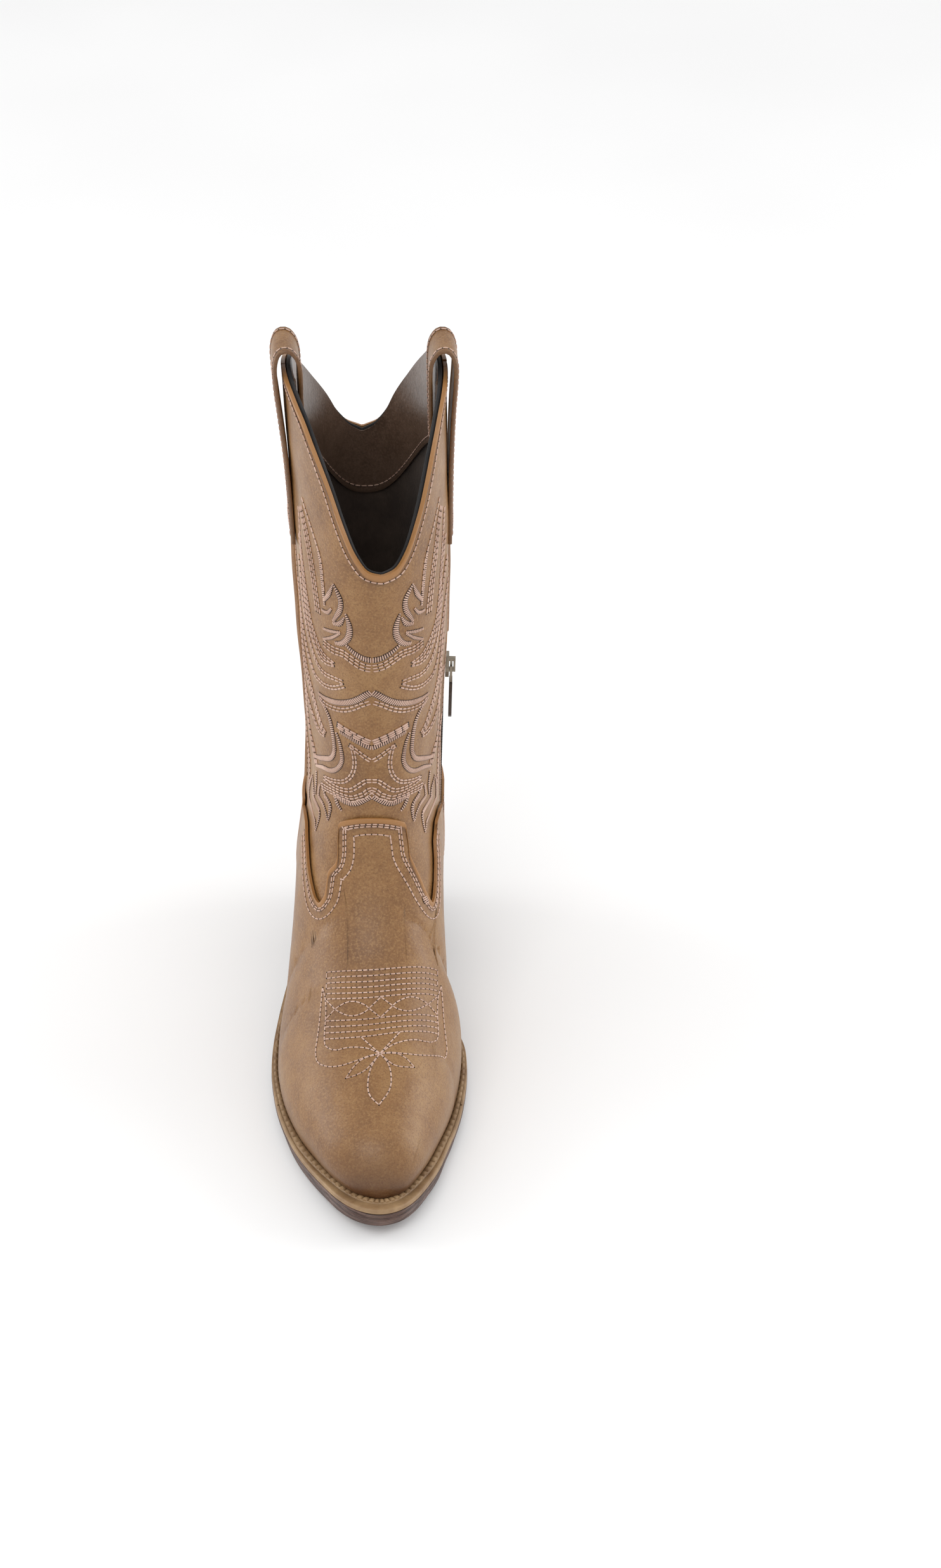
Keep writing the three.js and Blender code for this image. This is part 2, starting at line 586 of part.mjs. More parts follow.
function join(first, ...others) {
  const mesh = others.reduce((sum, g) => sum.add(toManifold(g)), toManifold(first)).getMesh();
  const geometry = new THREE.BufferGeometry();
  geometry.setAttribute('position', new THREE.BufferAttribute(mesh.vertProperties, 3));
  geometry.setIndex(new THREE.BufferAttribute(mesh.triVerts, 1));
  return geometry;
}

// Turns a shape drawn across and along the zip, with its depth, into the zip's own frame.
const intoZip = (geometry) => geometry.rotateX(Math.PI / 2).rotateZ(Math.PI / 2);

// The slider's plate, shield shaped, with an arch over it that holds the pull's link.
function zipSlider() {
  const { length, wide, below, plate: [low, high], arch, archHalf, archReach } = SLIDER;
  const half = wide / 2;
  const shield = intoZip(extrude([
    [-half, -3], [-half, -length + 4], [-half + 1.6, -length], [half - 1.6, -length],
    [half, -length + 4], [half, -3], [half - 1.8, 0], [-half + 1.8, 0],
  ], high - low)).translate(low, 0, -below);
  const across = [-archHalf, archHalf];
  const sunk = 0.4; // how far the posts reach into the plate and the bar
  const post = (z) => box([high - sunk, arch - sunk], across, [z - 0.7, z + 0.7]);
  const middle = -below - length / 2;
  const bar = box([arch - 1, arch], across,
    [middle - archReach - 0.7, middle + archReach + 0.7]);
  return join(shield, post(middle - archReach), post(middle + archReach), bar);
}
const pivotHeight = -SLIDER.below - SLIDER.length / 2;

// The pull hangs from the arch: a wire link and a leather tab.
function pullLink() {
  const { link, linkWide, wire } = PULL;
  const half = linkWide / 2;
  const frame = outlineShape([
    [-half, -link + wire / 2], [half, -link + wire / 2], [half, wire / 2], [-half, wire / 2],
  ]);
  const inside = half - wire;
  frame.holes.push(new THREE.Path([
    [-inside, -link + 1.5 * wire], [inside, -link + 1.5 * wire], [inside, -wire / 2],
    [-inside, -wire / 2],
  ].map(([x, y]) => new THREE.Vector2(x, y))));
  const bar = new THREE.ExtrudeGeometry(frame, { depth: wire, bevelEnabled: false });
  return intoZip(bar.translate(0, 0, -wire / 2)).translate(SLIDER.pivot, 0, pivotHeight);
}

function pullTab() {
  const { link, tab, tabWide, tabThick, wire } = PULL;
  const half = tabWide / 2;
  const top = -link - wire / 2;
  const corner = 2.5;
  const leather = extrude([
    [-half, top], [-half + 1, top - 6], [-half, top - tab + corner],
    [-half + corner, top - tab], [half - corner, top - tab], [half, top - tab + corner],
    [half - 1, top - 6], [half, top],
  ], tabThick);
  return intoZip(leather.translate(0, 0, -tabThick / 2))
    .translate(SLIDER.pivot, 0, pivotHeight);
}

// ---------------------------------------------------------------- sole
const weltTop = (y) => featherHeight(y) - 0.25;
const weltBottom = (y) => weltTop(y) - WELT.thick;
const outsoleTop = (y) => weltBottom(y) - GAP;

// Rows of points across the sole between two y, closer together towards both ends.
function acrossSole({ inset = () => 0, from, to, rows, columns = 4 }) {
  const sides = outlineSides(inset);
  const first = Math.max(from, sides.toe);
  const last = Math.min(to, sides.heel);
  return steps(rows).map((k) => {
    const y = lerp(first, last, (1 - Math.cos(Math.PI * k)) / 2);
    return steps(columns).map((a) => [lerp(sides.x(y, -1), sides.x(y, 1), a), y]);
  });
}
const raise = (rows, move) => rows.map((row) => row.map(([x, y]) => (
  new THREE.Vector3(...move(x, y)))));
const layer = ({ top, bottom, ...where }) => {
  const rows = acrossSole(where);
  return solidBetween(raise(rows, (x, y) => [x, y, top(y)]),
    raise(rows, (x, y) => [x, y, bottom(y)]));
};

function outsole() {
  const seat = HEEL.breast / SOLE_TAPER.y;
  const rows = [
    ...acrossSole({ from: -SOLE_HALF_LENGTH, to: seat, rows: 22 }),
    ...acrossSole({ from: seat, to: SOLE_HALF_LENGTH, rows: 9 }).slice(1),
  ];
  const lean = (x, y) => [x * SOLE_TAPER.x, y * SOLE_TAPER.y, underside(y * SOLE_TAPER.y)];
  return solidBetween(raise(rows, (x, y) => [x, y, outsoleTop(y)]), raise(rows, lean));
}

function welt() {
  const count = OUTLINE.length * 2;
  const outer = insetOutline(count, () => WELT.lip);
  const inner = insetOutline(count, (y) => Math.min(WELT.inner, margin(y) + 7));
  const rows = (height) => [outer, inner].map((ring) => ring.map(([x, y]) => (
    new THREE.Vector3(x, y, height(y)))));
  return solidBetween(rows(weltTop), rows(weltBottom), true);
}

const insideWelt = (y) => Math.min(WELT.inner, margin(y) + 7) + 0.6;
const filler = () => layer({
  inset: insideWelt, from: -SOLE_HALF_LENGTH, to: -12, rows: 12, columns: 2,
  top: (y) => weltTop(y) + 0.05, bottom: weltBottom,
});
const heelPad = () => layer({
  inset: insideWelt, from: 99, to: SOLE_HALF_LENGTH, rows: 8, columns: 2,
  top: (y) => weltTop(y) + 0.05, bottom: weltBottom,
});
const shank = () => {
  const ys = steps(12).map((k) => lerp(-9, 96, k));
  const grid = (height) => ys.map((y) => [-7, 7].map((x) => (
    new THREE.Vector3(x - 1, y, height(y)))));
  return solidBetween(grid((y) => weltTop(y) - 0.2), grid((y) => weltTop(y) - 1.8));
};
const boardInset = (y) => margin(y) + INSIDE;
const insoleBoard = () => layer({
  inset: boardInset, from: -SOLE_HALF_LENGTH, to: SOLE_HALF_LENGTH, rows: 18,
  columns: 2,
  top: (y) => featherHeight(y) + 2.3, bottom: (y) => featherHeight(y) + 0.3,
});
const sockLiner = () => layer({
  inset: (y) => boardInset(y) + 1, from: -SOLE_HALF_LENGTH, to: SOLE_HALF_LENGTH, rows: 18,
  columns: 2,
  top: (y) => featherHeight(y) + 4.2, bottom: (y) => featherHeight(y) + 2.6,
});

// ---------------------------------------------------------------- heel
// One layer of the heel stack between two depths, 0 under the seat and 1 on the top piece.
function heelLayer(from, to, heightAt) {
  const rows = acrossSole({
    from: HEEL.breast, to: SOLE_HALF_LENGTH, rows: 9, columns: 2,
  });
  const at = (depth) => raise(rows, (x, y) => {
    const back = (y - HEEL.breast) * lerp(0.98, HEEL.floor, depth);
    const along = HEEL.breast + HEEL.lean * depth + back;
    return [x * lerp(HEEL.top, HEEL.floor, depth), along, heightAt(along, depth)];
  });
  return solidBetween(at(from), at(to));
}
const stackHeight = (y, depth) => lerp(underside(y) - GAP, HEEL.topPiece + GAP, depth);
const heelLift = (i) => {
  const thick = 1 / HEEL.lifts;
  return heelLayer(i * thick, (i + 1) * thick - (i < HEEL.lifts - 1 ? 0.012 : 0), stackHeight);
};
const heelTopPiece = () => heelLayer(1, 1.02, (y, depth) => (depth > 1 ? 0 : HEEL.topPiece));

// ---------------------------------------------------------------- assembly
const boot = new THREE.Group();

function add(name, geometry, color, roughness, metalness = 0, parent = boot) {
  const material = new THREE.MeshStandardMaterial({ color, roughness, metalness });
  const mesh = new THREE.Mesh(geometry, material);
  mesh.name = name;
  parent.add(mesh);
}

const TAN = 0xa07d55;
const EDGE = 0x8a5f3a;
const DARK = 0x3c332b;
const SOLE = 0x4a3a33;
const METAL = 0x6b6459;

add('outsole', outsole(), SOLE, 0.6);
add('welt', welt(), 0xa5825c, 0.6);
for (let i = 0; i < HEEL.lifts; i += 1) add(`heel_lift_${i + 1}`, heelLift(i), SOLE, 0.6);
add('heel_top_piece', heelTopPiece(), 0x231f1c, 0.8);
add('forepart_filler', filler(), 0x9a7a55, 0.95);
add('heel_seat_filler', heelPad(), 0x9a7a55, 0.95);
add('shank', shank(), 0x8f9296, 0.4, 0.9);
add('insole_board', insoleBoard(), 0xb59f7e, 0.9);
add('sock_liner', sockLiner(), DARK, 0.85);
add('vamp', vamp(), TAN, 0.5);
add('vamp_lining', vampLining(), DARK, 0.9);
add('toe_puff', toePuff(), 0xd8d2c4, 0.8);
add('counter_cover', counterCover(), TAN, 0.5);
add('heel_counter', heelCounter(), 0xd8d2c4, 0.8);
add('heel_lining', heelLining(), DARK, 0.9);
add('shaft_front', frontPanel(), TAN, 0.5);
add('shaft_back', backPanel(), TAN, 0.5);
add('shaft_lining_front', frontLining(), DARK, 0.9);
add('shaft_lining_back', backLining(), DARK, 0.9);
add('collar_facing', facing(), 0x5a4d42, 0.5);
add('collar_binding', collarBinding(), 0x1d1a18, 0.7);
add('side_piping_outer', piping(-1, SHAFT_SEAM_Y, 122, 262), EDGE, 0.55);
add('side_piping_inner', piping(1, ZIP.y, 207, 262), EDGE, 0.55);
add('pull_strap_outer', pullStrap(-1), TAN, 0.5);
add('pull_strap_inner', pullStrap(1), TAN, 0.5);
add('zip_tape_front', zipTape(-1), 0x2c2521, 0.9);
add('zip_tape_back', zipTape(1), 0x2c2521, 0.9);
add('zip_guard', zipGuard(), DARK, 0.8);
add('zip_teeth_front', zipTeeth(-1), 0x30302f, 0.4, 0.3, zip);
add('zip_teeth_back', zipTeeth(1), 0x30302f, 0.4, 0.3, zip);
add('zip_top_stop', zipStop(0.4), METAL, 0.35, 0.9, zip);
add('zip_bottom_stop', zipStop(-zipLength - 3.4), METAL, 0.35, 0.9, zip);
add('zip_slider', zipSlider(), METAL, 0.35, 0.9, zip);
add('zip_pull_link', pullLink(), METAL, 0.35, 0.9, zip);
add('zip_pull_tab', pullTab(), 0x4a382b, 0.6, 0, zip);
boot.add(zip);

export default boot;
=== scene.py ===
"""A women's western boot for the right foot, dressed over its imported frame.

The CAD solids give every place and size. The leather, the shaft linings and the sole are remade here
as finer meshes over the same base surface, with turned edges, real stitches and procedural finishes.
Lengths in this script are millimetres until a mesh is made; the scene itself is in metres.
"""
import math

import bpy
import bmesh
import numpy as np
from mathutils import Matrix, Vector
from mathutils.kdtree import KDTree


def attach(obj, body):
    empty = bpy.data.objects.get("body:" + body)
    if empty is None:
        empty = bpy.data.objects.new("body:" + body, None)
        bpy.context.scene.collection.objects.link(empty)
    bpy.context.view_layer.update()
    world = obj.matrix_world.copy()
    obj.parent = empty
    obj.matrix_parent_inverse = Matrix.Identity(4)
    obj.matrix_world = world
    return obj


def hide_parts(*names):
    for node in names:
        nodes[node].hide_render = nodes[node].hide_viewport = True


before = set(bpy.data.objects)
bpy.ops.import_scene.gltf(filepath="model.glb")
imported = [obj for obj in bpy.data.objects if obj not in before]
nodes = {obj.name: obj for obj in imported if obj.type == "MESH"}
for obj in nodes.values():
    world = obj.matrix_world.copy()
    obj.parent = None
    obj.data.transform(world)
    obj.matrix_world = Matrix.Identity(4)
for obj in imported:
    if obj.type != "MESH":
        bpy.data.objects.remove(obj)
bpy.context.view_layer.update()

MM = 0.001

# ------------------------------------------------------------------ driving dimensions
GAP = 0.3
SOLE_TAPER = (0.955, 0.988)
WELT = {"thick": 2.5, "inner": 13.5, "lip": 0.4}
SHAFT = (0, -1.6)
FOXING = (2, 0.9)
LINING = (-2.75, -3.6)
FACING = (-4.1, -4.8)
BINDING = (-2.2, -4)
PIPING = (1.5, 0.3)
ZIP_TAPE = (-2, -2.4)
ZIP = {"y": 74, "top": 194, "bottom": 70, "slot": 5.5, "beyond": 5, "tape": 13}
SEAM_HALF_GAP = 0.35
SHAFT_SEAM_Y = 70
FOXING_SEAM_Y = 62
STRAP = {"from": 57, "to": 82, "thick": 1.7}
STRAP_FREE_ABOVE = 345
FACING_SPAN = (0.42, 1.58)
FACING_EDGE = {"low": 251.5, "rise": 62, "reach": 0.55, "bend": 2.5}
COUNTER_EDGE = {"side": 118, "dip": 5}
FOXING_FOLD = {"lip_wide": 2.4, "round_edge": 0.5}
SHAFT_FOLD = {"lip": 0.4, "lip_wide": 2.7, "round_edge": 0.35}
VAMP_ROWS = (2.9, 4.1, 8.2)
COUNTER_ROWS = (3, 5)
COLLAR_ROW = 4
FACING_ROW = 3.5
STRAP_ROW = 3
ZIP_ROW = 2.6
SEAM_ROW = 4.6
WELT_STITCH = 4.4
ZIP_PITCH = 1.55
TAPE_RIBS = (12.1, 20.9)
HEEL = {"breast": 75, "lean": 4, "lifts": 4, "top_piece": 7, "top": 0.955, "floor": 0.8}
HEEL_RIB = 15

OUTLINE = np.array([
    (7.5, -142), (-3, -138.6), (-12.3, -130), (-21.4, -116), (-29.2, -102), (-35.9, -88),
    (-40.9, -74), (-44.8, -60), (-47.5, -45), (-49.2, -30), (-49.3, -15), (-48, 0),
    (-44.5, 20), (-39, 42), (-35, 65), (-33.5, 90), (-30.5, 114), (-22.5, 132), (-11.5, 140),
    (0, 142), (11.5, 140), (22, 132), (29.5, 115), (31.5, 92), (30, 70), (31, 48), (36, 24),
    (43, 2), (48, -12), (49.3, -26), (48.8, -42), (46.8, -60), (43.8, -75), (40.3, -88),
    (36.8, -102), (31.8, -116), (25.2, -130), (17.5, -138.8),
])
FEATHER = [
    (-142, 19.2), (-137, 18.6), (-120, 16), (-95, 12.8), (-60, 11.2), (-35, 11.2),
    (-10, 13.5), (15, 20), (40, 30), (62, 39.3), (80, 45), (100, 48.8), (120, 50.4), (142, 51),
]
UNDERSIDE = [
    (-142, 8), (-120, 4.8), (-95, 1.4), (-65, 0), (-30, 0), (-10, 2), (15, 10), (40, 20.5),
    (60, 29), (75, 35), (142, 41.5),
]
MARGIN = [
    (-142, 11.9), (-125, 10.2), (-100, 8.4), (-75, 7.2), (-50, 6.2), (-20, 5.4), (20, 5),
    (60, 4.4), (90, 3.2), (142, 3),
]
# Ribs of the upper: front y, z, back y, z (None on the feather line), half width on the outer
# and inner side, front and back x, squareness.
RIBS = [
    (-130.1, 18.3, -130.1, None, 0, 0, 7.2, 7.2, 0.9),
    (-129.4, 25, -127, None, 9.7, 9.7, 7, 7, 0.9),
    (-126.5, 32.5, -121, None, 16.3, 15.2, 6.6, 6.5, 0.9),
    (-118, 41, -110, None, 24, 21, 6.2, 6, 0.9),
    (-102, 48, -95, None, 31, 27, 5.8, 5, 0.92),
    (-84, 54.5, -79, None, 37.4, 33.4, 5.4, 3.5, 0.93),
    (-63, 62, -60, None, 41.7, 38.9, 5, 1.5, 0.94),
    (-42, 71.5, -39, None, 43.9, 41, 4.8, 0.5, 0.95),
    (-23, 84, -16, None, 42.9, 40.3, 4.6, -0.5, 0.93),
    (-9, 99, 10, None, 40, 37.2, 4.1, -1.5, 0.9),
    (0, 113.5, 38, None, 37.3, 35.4, 3.5, -2, 0.88),
    (5, 126, 66, None, 36, 35, 3, -2, 0.86),
    (7.5, 136, 92, None, 36, 35, 2.8, -1.5, 0.86),
    (8.7, 143, 114, None, 35.3, 34.6, 2.8, -1, 0.86),
    (9.2, 148, 130, None, 34.7, 34, 2.8, -0.5, 0.86),
    (9.5, 153, 139, 51, 34.2, 33.7, 2.8, 0, 0.87),
    (9.7, 158, 139.6, 64, 34, 33.7, 2.9, 0.1, 0.88),
    (9.8, 164, 139.6, 82, 33.1, 33.9, 3, 0, 0.9),
    (9.8, 172, 137, 104, 32.6, 34.2, 3.1, -0.1, 0.94),
    (9.6, 182, 133.5, 130, 32.5, 34.7, 3.2, -0.2, 0.97),
    (9, 196, 131.5, 160, 33, 35.5, 3.4, -0.4, 1),
    (8.5, 214, 132.5, 190, 33.9, 36.5, 3.8, -0.8, 1),
    (7.5, 236, 134.5, 221, 34.6, 37.4, 4.3, -1.3, 1),
    (6.8, 260, 136.5, 252, 35.2, 38, 4.9, -2, 1),
    (6, 285, 138, 282, 35.9, 38.1, 5.5, -2.7, 1),
    (5, 310, 139.3, 310, 36.7, 38.1, 6, -3.5, 1),
    (4.5, 338, 140.2, 338, 37.9, 38.4, 6, -4, 1),
    (4, 366, 140.6, 366, 38.8, 38.7, 6, -4, 1),
]
LAST_RIB = len(RIBS) - 1
COLLAR = [
    (0, 279), (0.056, 281), (0.111, 289), (0.167, 304), (0.222, 322), (0.278, 337),
    (0.333, 348), (0.417, 355), (0.5, 356.5), (0.583, 353), (0.667, 341), (0.75, 325.5),
    (0.823, 311), (0.87, 300), (0.9, 295), (0.94, 289.8), (1, 286.2),
]
COLLAR_TURN = 0.04
VAMP_EDGE = [
    (-1, 15.8), (-0.5, 15.6), (-0.485, 14.9), (-0.465, 13.9), (-0.45, 12.9), (-0.425, 11.3),
    (-0.4, 10.3), (-0.378, 9.75), (-0.352, 9.55), (-0.305, 9.65), (-0.28, 9.9),
    (-0.252, 10.3), (-0.2, 10.5), (-0.178, 10.9), (-0.168, 12.1), (-0.157, 12.4), (0, 12.6),
    (0.17, 12.4), (0.181, 12.1), (0.19, 10.95), (0.216, 10.6), (0.271, 10.2),
    (0.334, 9.85), (0.4, 9.7), (0.425, 9.95), (0.445, 11.3), (0.46, 13.4), (0.475, 15.4),
    (1, 15.8),
]


# ------------------------------------------------------------------ curves
def lerp(a, b, k):
    return a + (b - a) * k


def smooth(x, low, high):
    k = np.clip((np.asarray(x, float) - low) / (high - low), 0, 1)
    return k * k * (3 - 2 * k)


def curve(rows):
    """Smooth curve through (x, y) rows that never overshoots them."""
    x, y = np.array(rows, float).T
    slope = np.diff(y) / np.diff(x)
    a, b = slope[:-1], slope[1:]
    middle = np.where(a * b <= 0, 0, 2 * a * b / np.where(a + b == 0, 1, a + b))
    tangent = np.concatenate([[slope[0]], middle, [slope[-1]]])

    def value(at):
        at = np.clip(at, x[0], x[-1])
        i = np.clip(np.searchsorted(x, at) - 1, 0, len(x) - 2)
        h = x[i + 1] - x[i]
        k = (at - x[i]) / h
        return (
            (2 * k**3 - 3 * k**2 + 1) * y[i] + (k**3 - 2 * k**2 + k) * h * tangent[i]
            + (3 * k**2 - 2 * k**3) * y[i + 1] + (k**3 - k**2) * h * tangent[i + 1]
        )

    return value


def blend4(a, b, c, d, k):
    """Catmull-Rom value between b and c."""
    return 0.5 * (2 * b + (c - a) * k + (2 * a - 5 * b + 4 * c - d) * k**2
                  + (3 * b - a - 3 * c + d) * k**3)


def run_length(points):
    """Distance along a line of points, for each of them."""
    return np.concatenate([[0], np.cumsum(np.linalg.norm(np.diff(points, axis=0), axis=1))])


def along_line(at, length, points):
    """Places on a line of points, at distances along it."""
    return np.stack([np.interp(at, length, column) for column in points.T], -1)


def spline(points, count):
    """count points evenly along a Catmull-Rom curve through the given ones."""
    p = np.array(points, float)
    p = np.vstack([2 * p[0] - p[1], p, 2 * p[-1] - p[-2]])
    at = np.linspace(0, len(p) - 3, max(count, 8) * 4)
    i = np.minimum(at.astype(int), len(p) - 4)
    fine = blend4(p[i], p[i + 1], p[i + 2], p[i + 3], (at - i)[:, None])
    length = run_length(fine)
    return along_line(np.linspace(0, length[-1], count), length, fine)


def solve(rising, low, high, shape):
    """Where rising(value) reaches zero, between low and high, for every place at once."""
    a, b = np.full(shape, float(low)), np.full(shape, float(high))
    for _ in range(30):
        middle = (a + b) / 2
        below = rising(middle) < 0
        a, b = np.where(below, middle, a), np.where(below, b, middle)
    return (a + b) / 2


feather_height = curve(FEATHER)
underside = curve(UNDERSIDE)
margin = curve(MARGIN)
collar_height = curve(COLLAR)
vamp_edge = curve(VAMP_EDGE)


# ------------------------------------------------------------------ outline of the sole
def inset_outline(count, distance):
    """Points round the sole's outline, moved in by a distance that may depend on y."""
    n = len(OUTLINE)
    p = np.arange(count) / count * n
    i = p.astype(int)
    k = (p - i)[:, None]
    a, b, c, d = (OUTLINE[(i + j) % n] for j in (-1, 0, 1, 2))
    at = blend4(a, b, c, d, k)
    along = 0.5 * ((c - a) + 2 * (2 * a - 5 * b + 4 * c - d) * k
                   + 3 * (3 * b - a - 3 * c + d) * k**2)
    along /= np.linalg.norm(along, axis=1)[:, None]
    inwards = distance(at[:, 1])
    return at + np.stack([along[:, 1] * inwards, -along[:, 0] * inwards], 1)


def no_inset(y):
    return 0 * y


def outline_runs(distance, count):
    """The outer and the inner side of the inset outline, each from the toe to the heel."""
    p = inset_outline(count, distance)
    n, toe, heel = len(p), int(np.argmin(p[:, 1])), int(np.argmax(p[:, 1]))
    outer = p[(toe + np.arange((heel - toe) % n + 1)) % n]
    inner = p[(heel + np.arange((toe - heel) % n + 1)) % n][::-1]
    return outer, inner


feather_runs = outline_runs(margin, len(OUTLINE) * 8)
HEEL_END = feather_runs[1][-1, 1]


def feather_x(y, side):
    outer, inner = (np.interp(y, run[:, 1], run[:, 0]) for run in feather_runs)
    return np.where(side < 0, outer, inner)


# ------------------------------------------------------------------ surface of the upper
RIB_TABLE = np.array([
    [*r[:3], float(feather_height(r[2])) if r[3] is None else r[3], *r[4:]] for r in RIBS
], float)
RIB_TABLE = np.vstack([2 * RIB_TABLE[0] - RIB_TABLE[1], RIB_TABLE,
                       2 * RIB_TABLE[-1] - RIB_TABLE[-2]])


def rib(t):
    """Every value of the rib table at t, blended smoothly between ribs."""
    at = np.clip(t, 0, LAST_RIB)
    i = np.minimum(at.astype(int), LAST_RIB - 1)
    return blend4(*(RIB_TABLE[i + j] for j in range(4)), (at - i)[..., None])


def surface(t, v):
    """Base surface: t runs along the ribs, v round them, 0 in front and +-1 at the back."""
    t, v = np.broadcast_arrays(np.asarray(t, float), np.asarray(v, float))
    v = np.where(v > 1, v - 2, np.where(v < -1, v + 2, v))
    side = np.where(v < 0, -1.0, 1.0)
    front_y, front_z, back_y, back_z, outer, inner, front_x, back_x, square = np.moveaxis(
        rib(t), -1, 0)
    half = np.where(side < 0, outer, inner)
    feather = np.where((t < HEEL_RIB) & (back_y < HEEL_END),
                       np.maximum(0, side * (feather_x(back_y, side) - back_x)), 0)
    half = np.maximum(np.maximum(half, feather * 1.001), 1e-6)
    full = np.pi - np.arcsin((feather / half) ** (1 / square))
    angle = np.abs(v) * full
    way = (1 - np.cos(angle)) / (1 - np.cos(full))
    out = half * np.abs(np.sin(angle)) ** square * np.sign(np.sin(angle))
    return np.stack([lerp(front_x, back_x, way) + side * out, lerp(front_y, back_y, way),
                     lerp(front_z, back_z, way)], -1)


def outward(t, v):
    """The way out of the surface, of length 1."""
    t, v = np.broadcast_arrays(np.asarray(t, float), np.asarray(v, float))
    step = 2e-3
    closed = t - step >= HEEL_RIB
    low = np.where(closed, v - step, np.maximum(v - step, -1))
    high = np.where(closed, v + step, np.minimum(v + step, 1))
    across = surface(t, high) - surface(t, low)
    up = surface(np.minimum(t + step, LAST_RIB), v) - surface(np.maximum(t - step, 0), v)
    normal = np.cross(across, up)
    normal /= np.maximum(np.linalg.norm(normal, axis=-1, keepdims=True), 1e-12)
    normal[t < 0.02] = (0, -1, 0)
    return normal


def folds(t, v):
    """Soft standing folds of the shaft's leather, strongest on its sides."""
    p = surface(t, v)
    y, z = p[..., 1], p[..., 2]
    sides = smooth(np.abs(v), 0.24, 0.4) * (1 - smooth(np.abs(v), 0.7, 0.9))
    height = smooth(z, 118, 160) * (1 - smooth(z, 285, 335))
    ridges = np.sin(y / 5.2 + z / 34 + np.sign(v)) + 0.6 * np.sin(y / 3.1 - z / 21 + 2)
    dents = np.sin(p[..., 0] / 11 + z / 17) * np.sin(z / 9.5 - y / 23)
    return 0.5 * ridges * sides * height + 0.22 * dents * smooth(z, 120, 150)


def skin(t, v, offset, folded=False):
    """Points off the surface; nothing of the upper reaches below the feather line."""
    t, v = np.broadcast_arrays(np.asarray(t, float), np.asarray(v, float))
    offset = np.broadcast_to(np.asarray(offset, float), t.shape)
    if folded:
        offset = offset + folds(t, v)
    p = surface(t, v) + outward(t, v) * offset[..., None]
    floor = feather_height(p[..., 1]) + 0.2
    on_feather = (t < HEEL_RIB) & (np.abs(v) > 0.999)
    p[..., 2] = np.where(on_feather, floor, np.maximum(p[..., 2], floor))
    return p


def round_at_y(t, y, side):
    t, y = np.broadcast_arrays(np.asarray(t, float), np.asarray(y, float))
    return side * solve(lambda v: surface(t, side * v)[..., 1] - y, 0, 1, t.shape)


def rib_at_z(v, z, low=HEEL_RIB):
    v, z = np.broadcast_arrays(np.asarray(v, float), np.asarray(z, float))
    return solve(lambda t: surface(t, v)[..., 2] - z, low, LAST_RIB, v.shape)


def rib_on_side(y, z, side, low=HEEL_RIB):
    """The rib where the line at y along one side of the boot reaches z."""
    return solve(lambda t: surface(t, round_at_y(t, y, side))[..., 2] - z, low, LAST_RIB,
                 np.shape(z))


def collar_rib(v, below):
    """The rib at a distance below the collar's edge."""
    v = np.asarray(v, float)
    v = np.where(v > 1, v - 2, v)
    way = np.abs(v - COLLAR_TURN * (1 - np.abs(v)))
    return rib_at_z(v, collar_height(way) - below)


ZIP_RIBS = np.linspace(8, LAST_RIB, 400)
ZIP_Z = surface(ZIP_RIBS, round_at_y(ZIP_RIBS, ZIP["y"], 1))[:, 2]


def zip_open(t):
    """1 where the leather stands open beside the zip, 0 where its edges meet."""
    z = np.interp(t, ZIP_RIBS, ZIP_Z)
    low, high, reach = ZIP["bottom"] - ZIP["beyond"], ZIP["top"] + 2 * ZIP["beyond"], ZIP["beyond"]
    return smooth(z, low - reach, low) * (1 - smooth(z, high, high + reach))


def zip_round(t, side, beyond=0.0):
    y = ZIP["y"] + side * (lerp(SEAM_HALF_GAP, ZIP["slot"], zip_open(t)) + beyond)
    return round_at_y(t, y, 1)


def vamp_end(v):
    """The last rib of the vamp: its upper edge, or its side seam."""
    v = np.asarray(v, float)
    edge = vamp_edge(v)

    def short_of_seam(t):
        seam = np.where(v < 0, FOXING_SEAM_Y - SEAM_HALF_GAP,
                        ZIP["y"] - lerp(SEAM_HALF_GAP, ZIP["slot"], zip_open(t)))
        return surface(t, v)[..., 1] - seam

    at_seam = solve(short_of_seam, 8, HEEL_RIB + 0.5, v.shape)
    return np.where(np.abs(v) < 0.46, edge, np.minimum(edge, at_seam))


# ------------------------------------------------------------------ meshes
def put(name, data):
    """A new object of the scene."""
    obj = bpy.data.objects.new(name, data)
    bpy.context.scene.collection.objects.link(obj)
    return obj


def make_mesh(name, points, faces, attributes=None, sharp=40):
    """A smooth-shaded object in metres; edges sharper than the angle stay sharp."""
    mesh = bpy.data.meshes.new(name)
    mesh.from_pydata((np.asarray(points) * MM).tolist(), [], faces)
    for key, values in (attributes or {}).items():
        layer = mesh.attributes.new(key, "FLOAT", "POINT")
        layer.data.foreach_set("value", np.asarray(values, np.float32).ravel())
    tidy = bmesh.new()
    tidy.from_mesh(mesh)
    bmesh.ops.remove_doubles(tidy, verts=tidy.verts, dist=5e-6)
    if tidy.calc_volume(signed=True) < 0:
        bmesh.ops.reverse_faces(tidy, faces=tidy.faces)
    tidy.to_mesh(mesh)
    tidy.free()
    mesh.polygons.foreach_set("use_smooth", [True] * len(mesh.polygons))
    mesh.set_sharp_from_angle(angle=math.radians(sharp))
    return put(name, mesh)


def quads(rows, columns, start, ring=False, flip=False):
    r, c = np.meshgrid(np.arange(rows - 1), np.arange(columns if ring else columns - 1),
                       indexing="ij")
    r, c = r.ravel(), c.ravel()
    n = (c + 1) % columns
    corners = [r * columns + c, r * columns + n, (r + 1) * columns + n, (r + 1) * columns + c]
    faces = np.stack(corners[::-1] if flip else corners, 1) + start
    return faces.tolist()


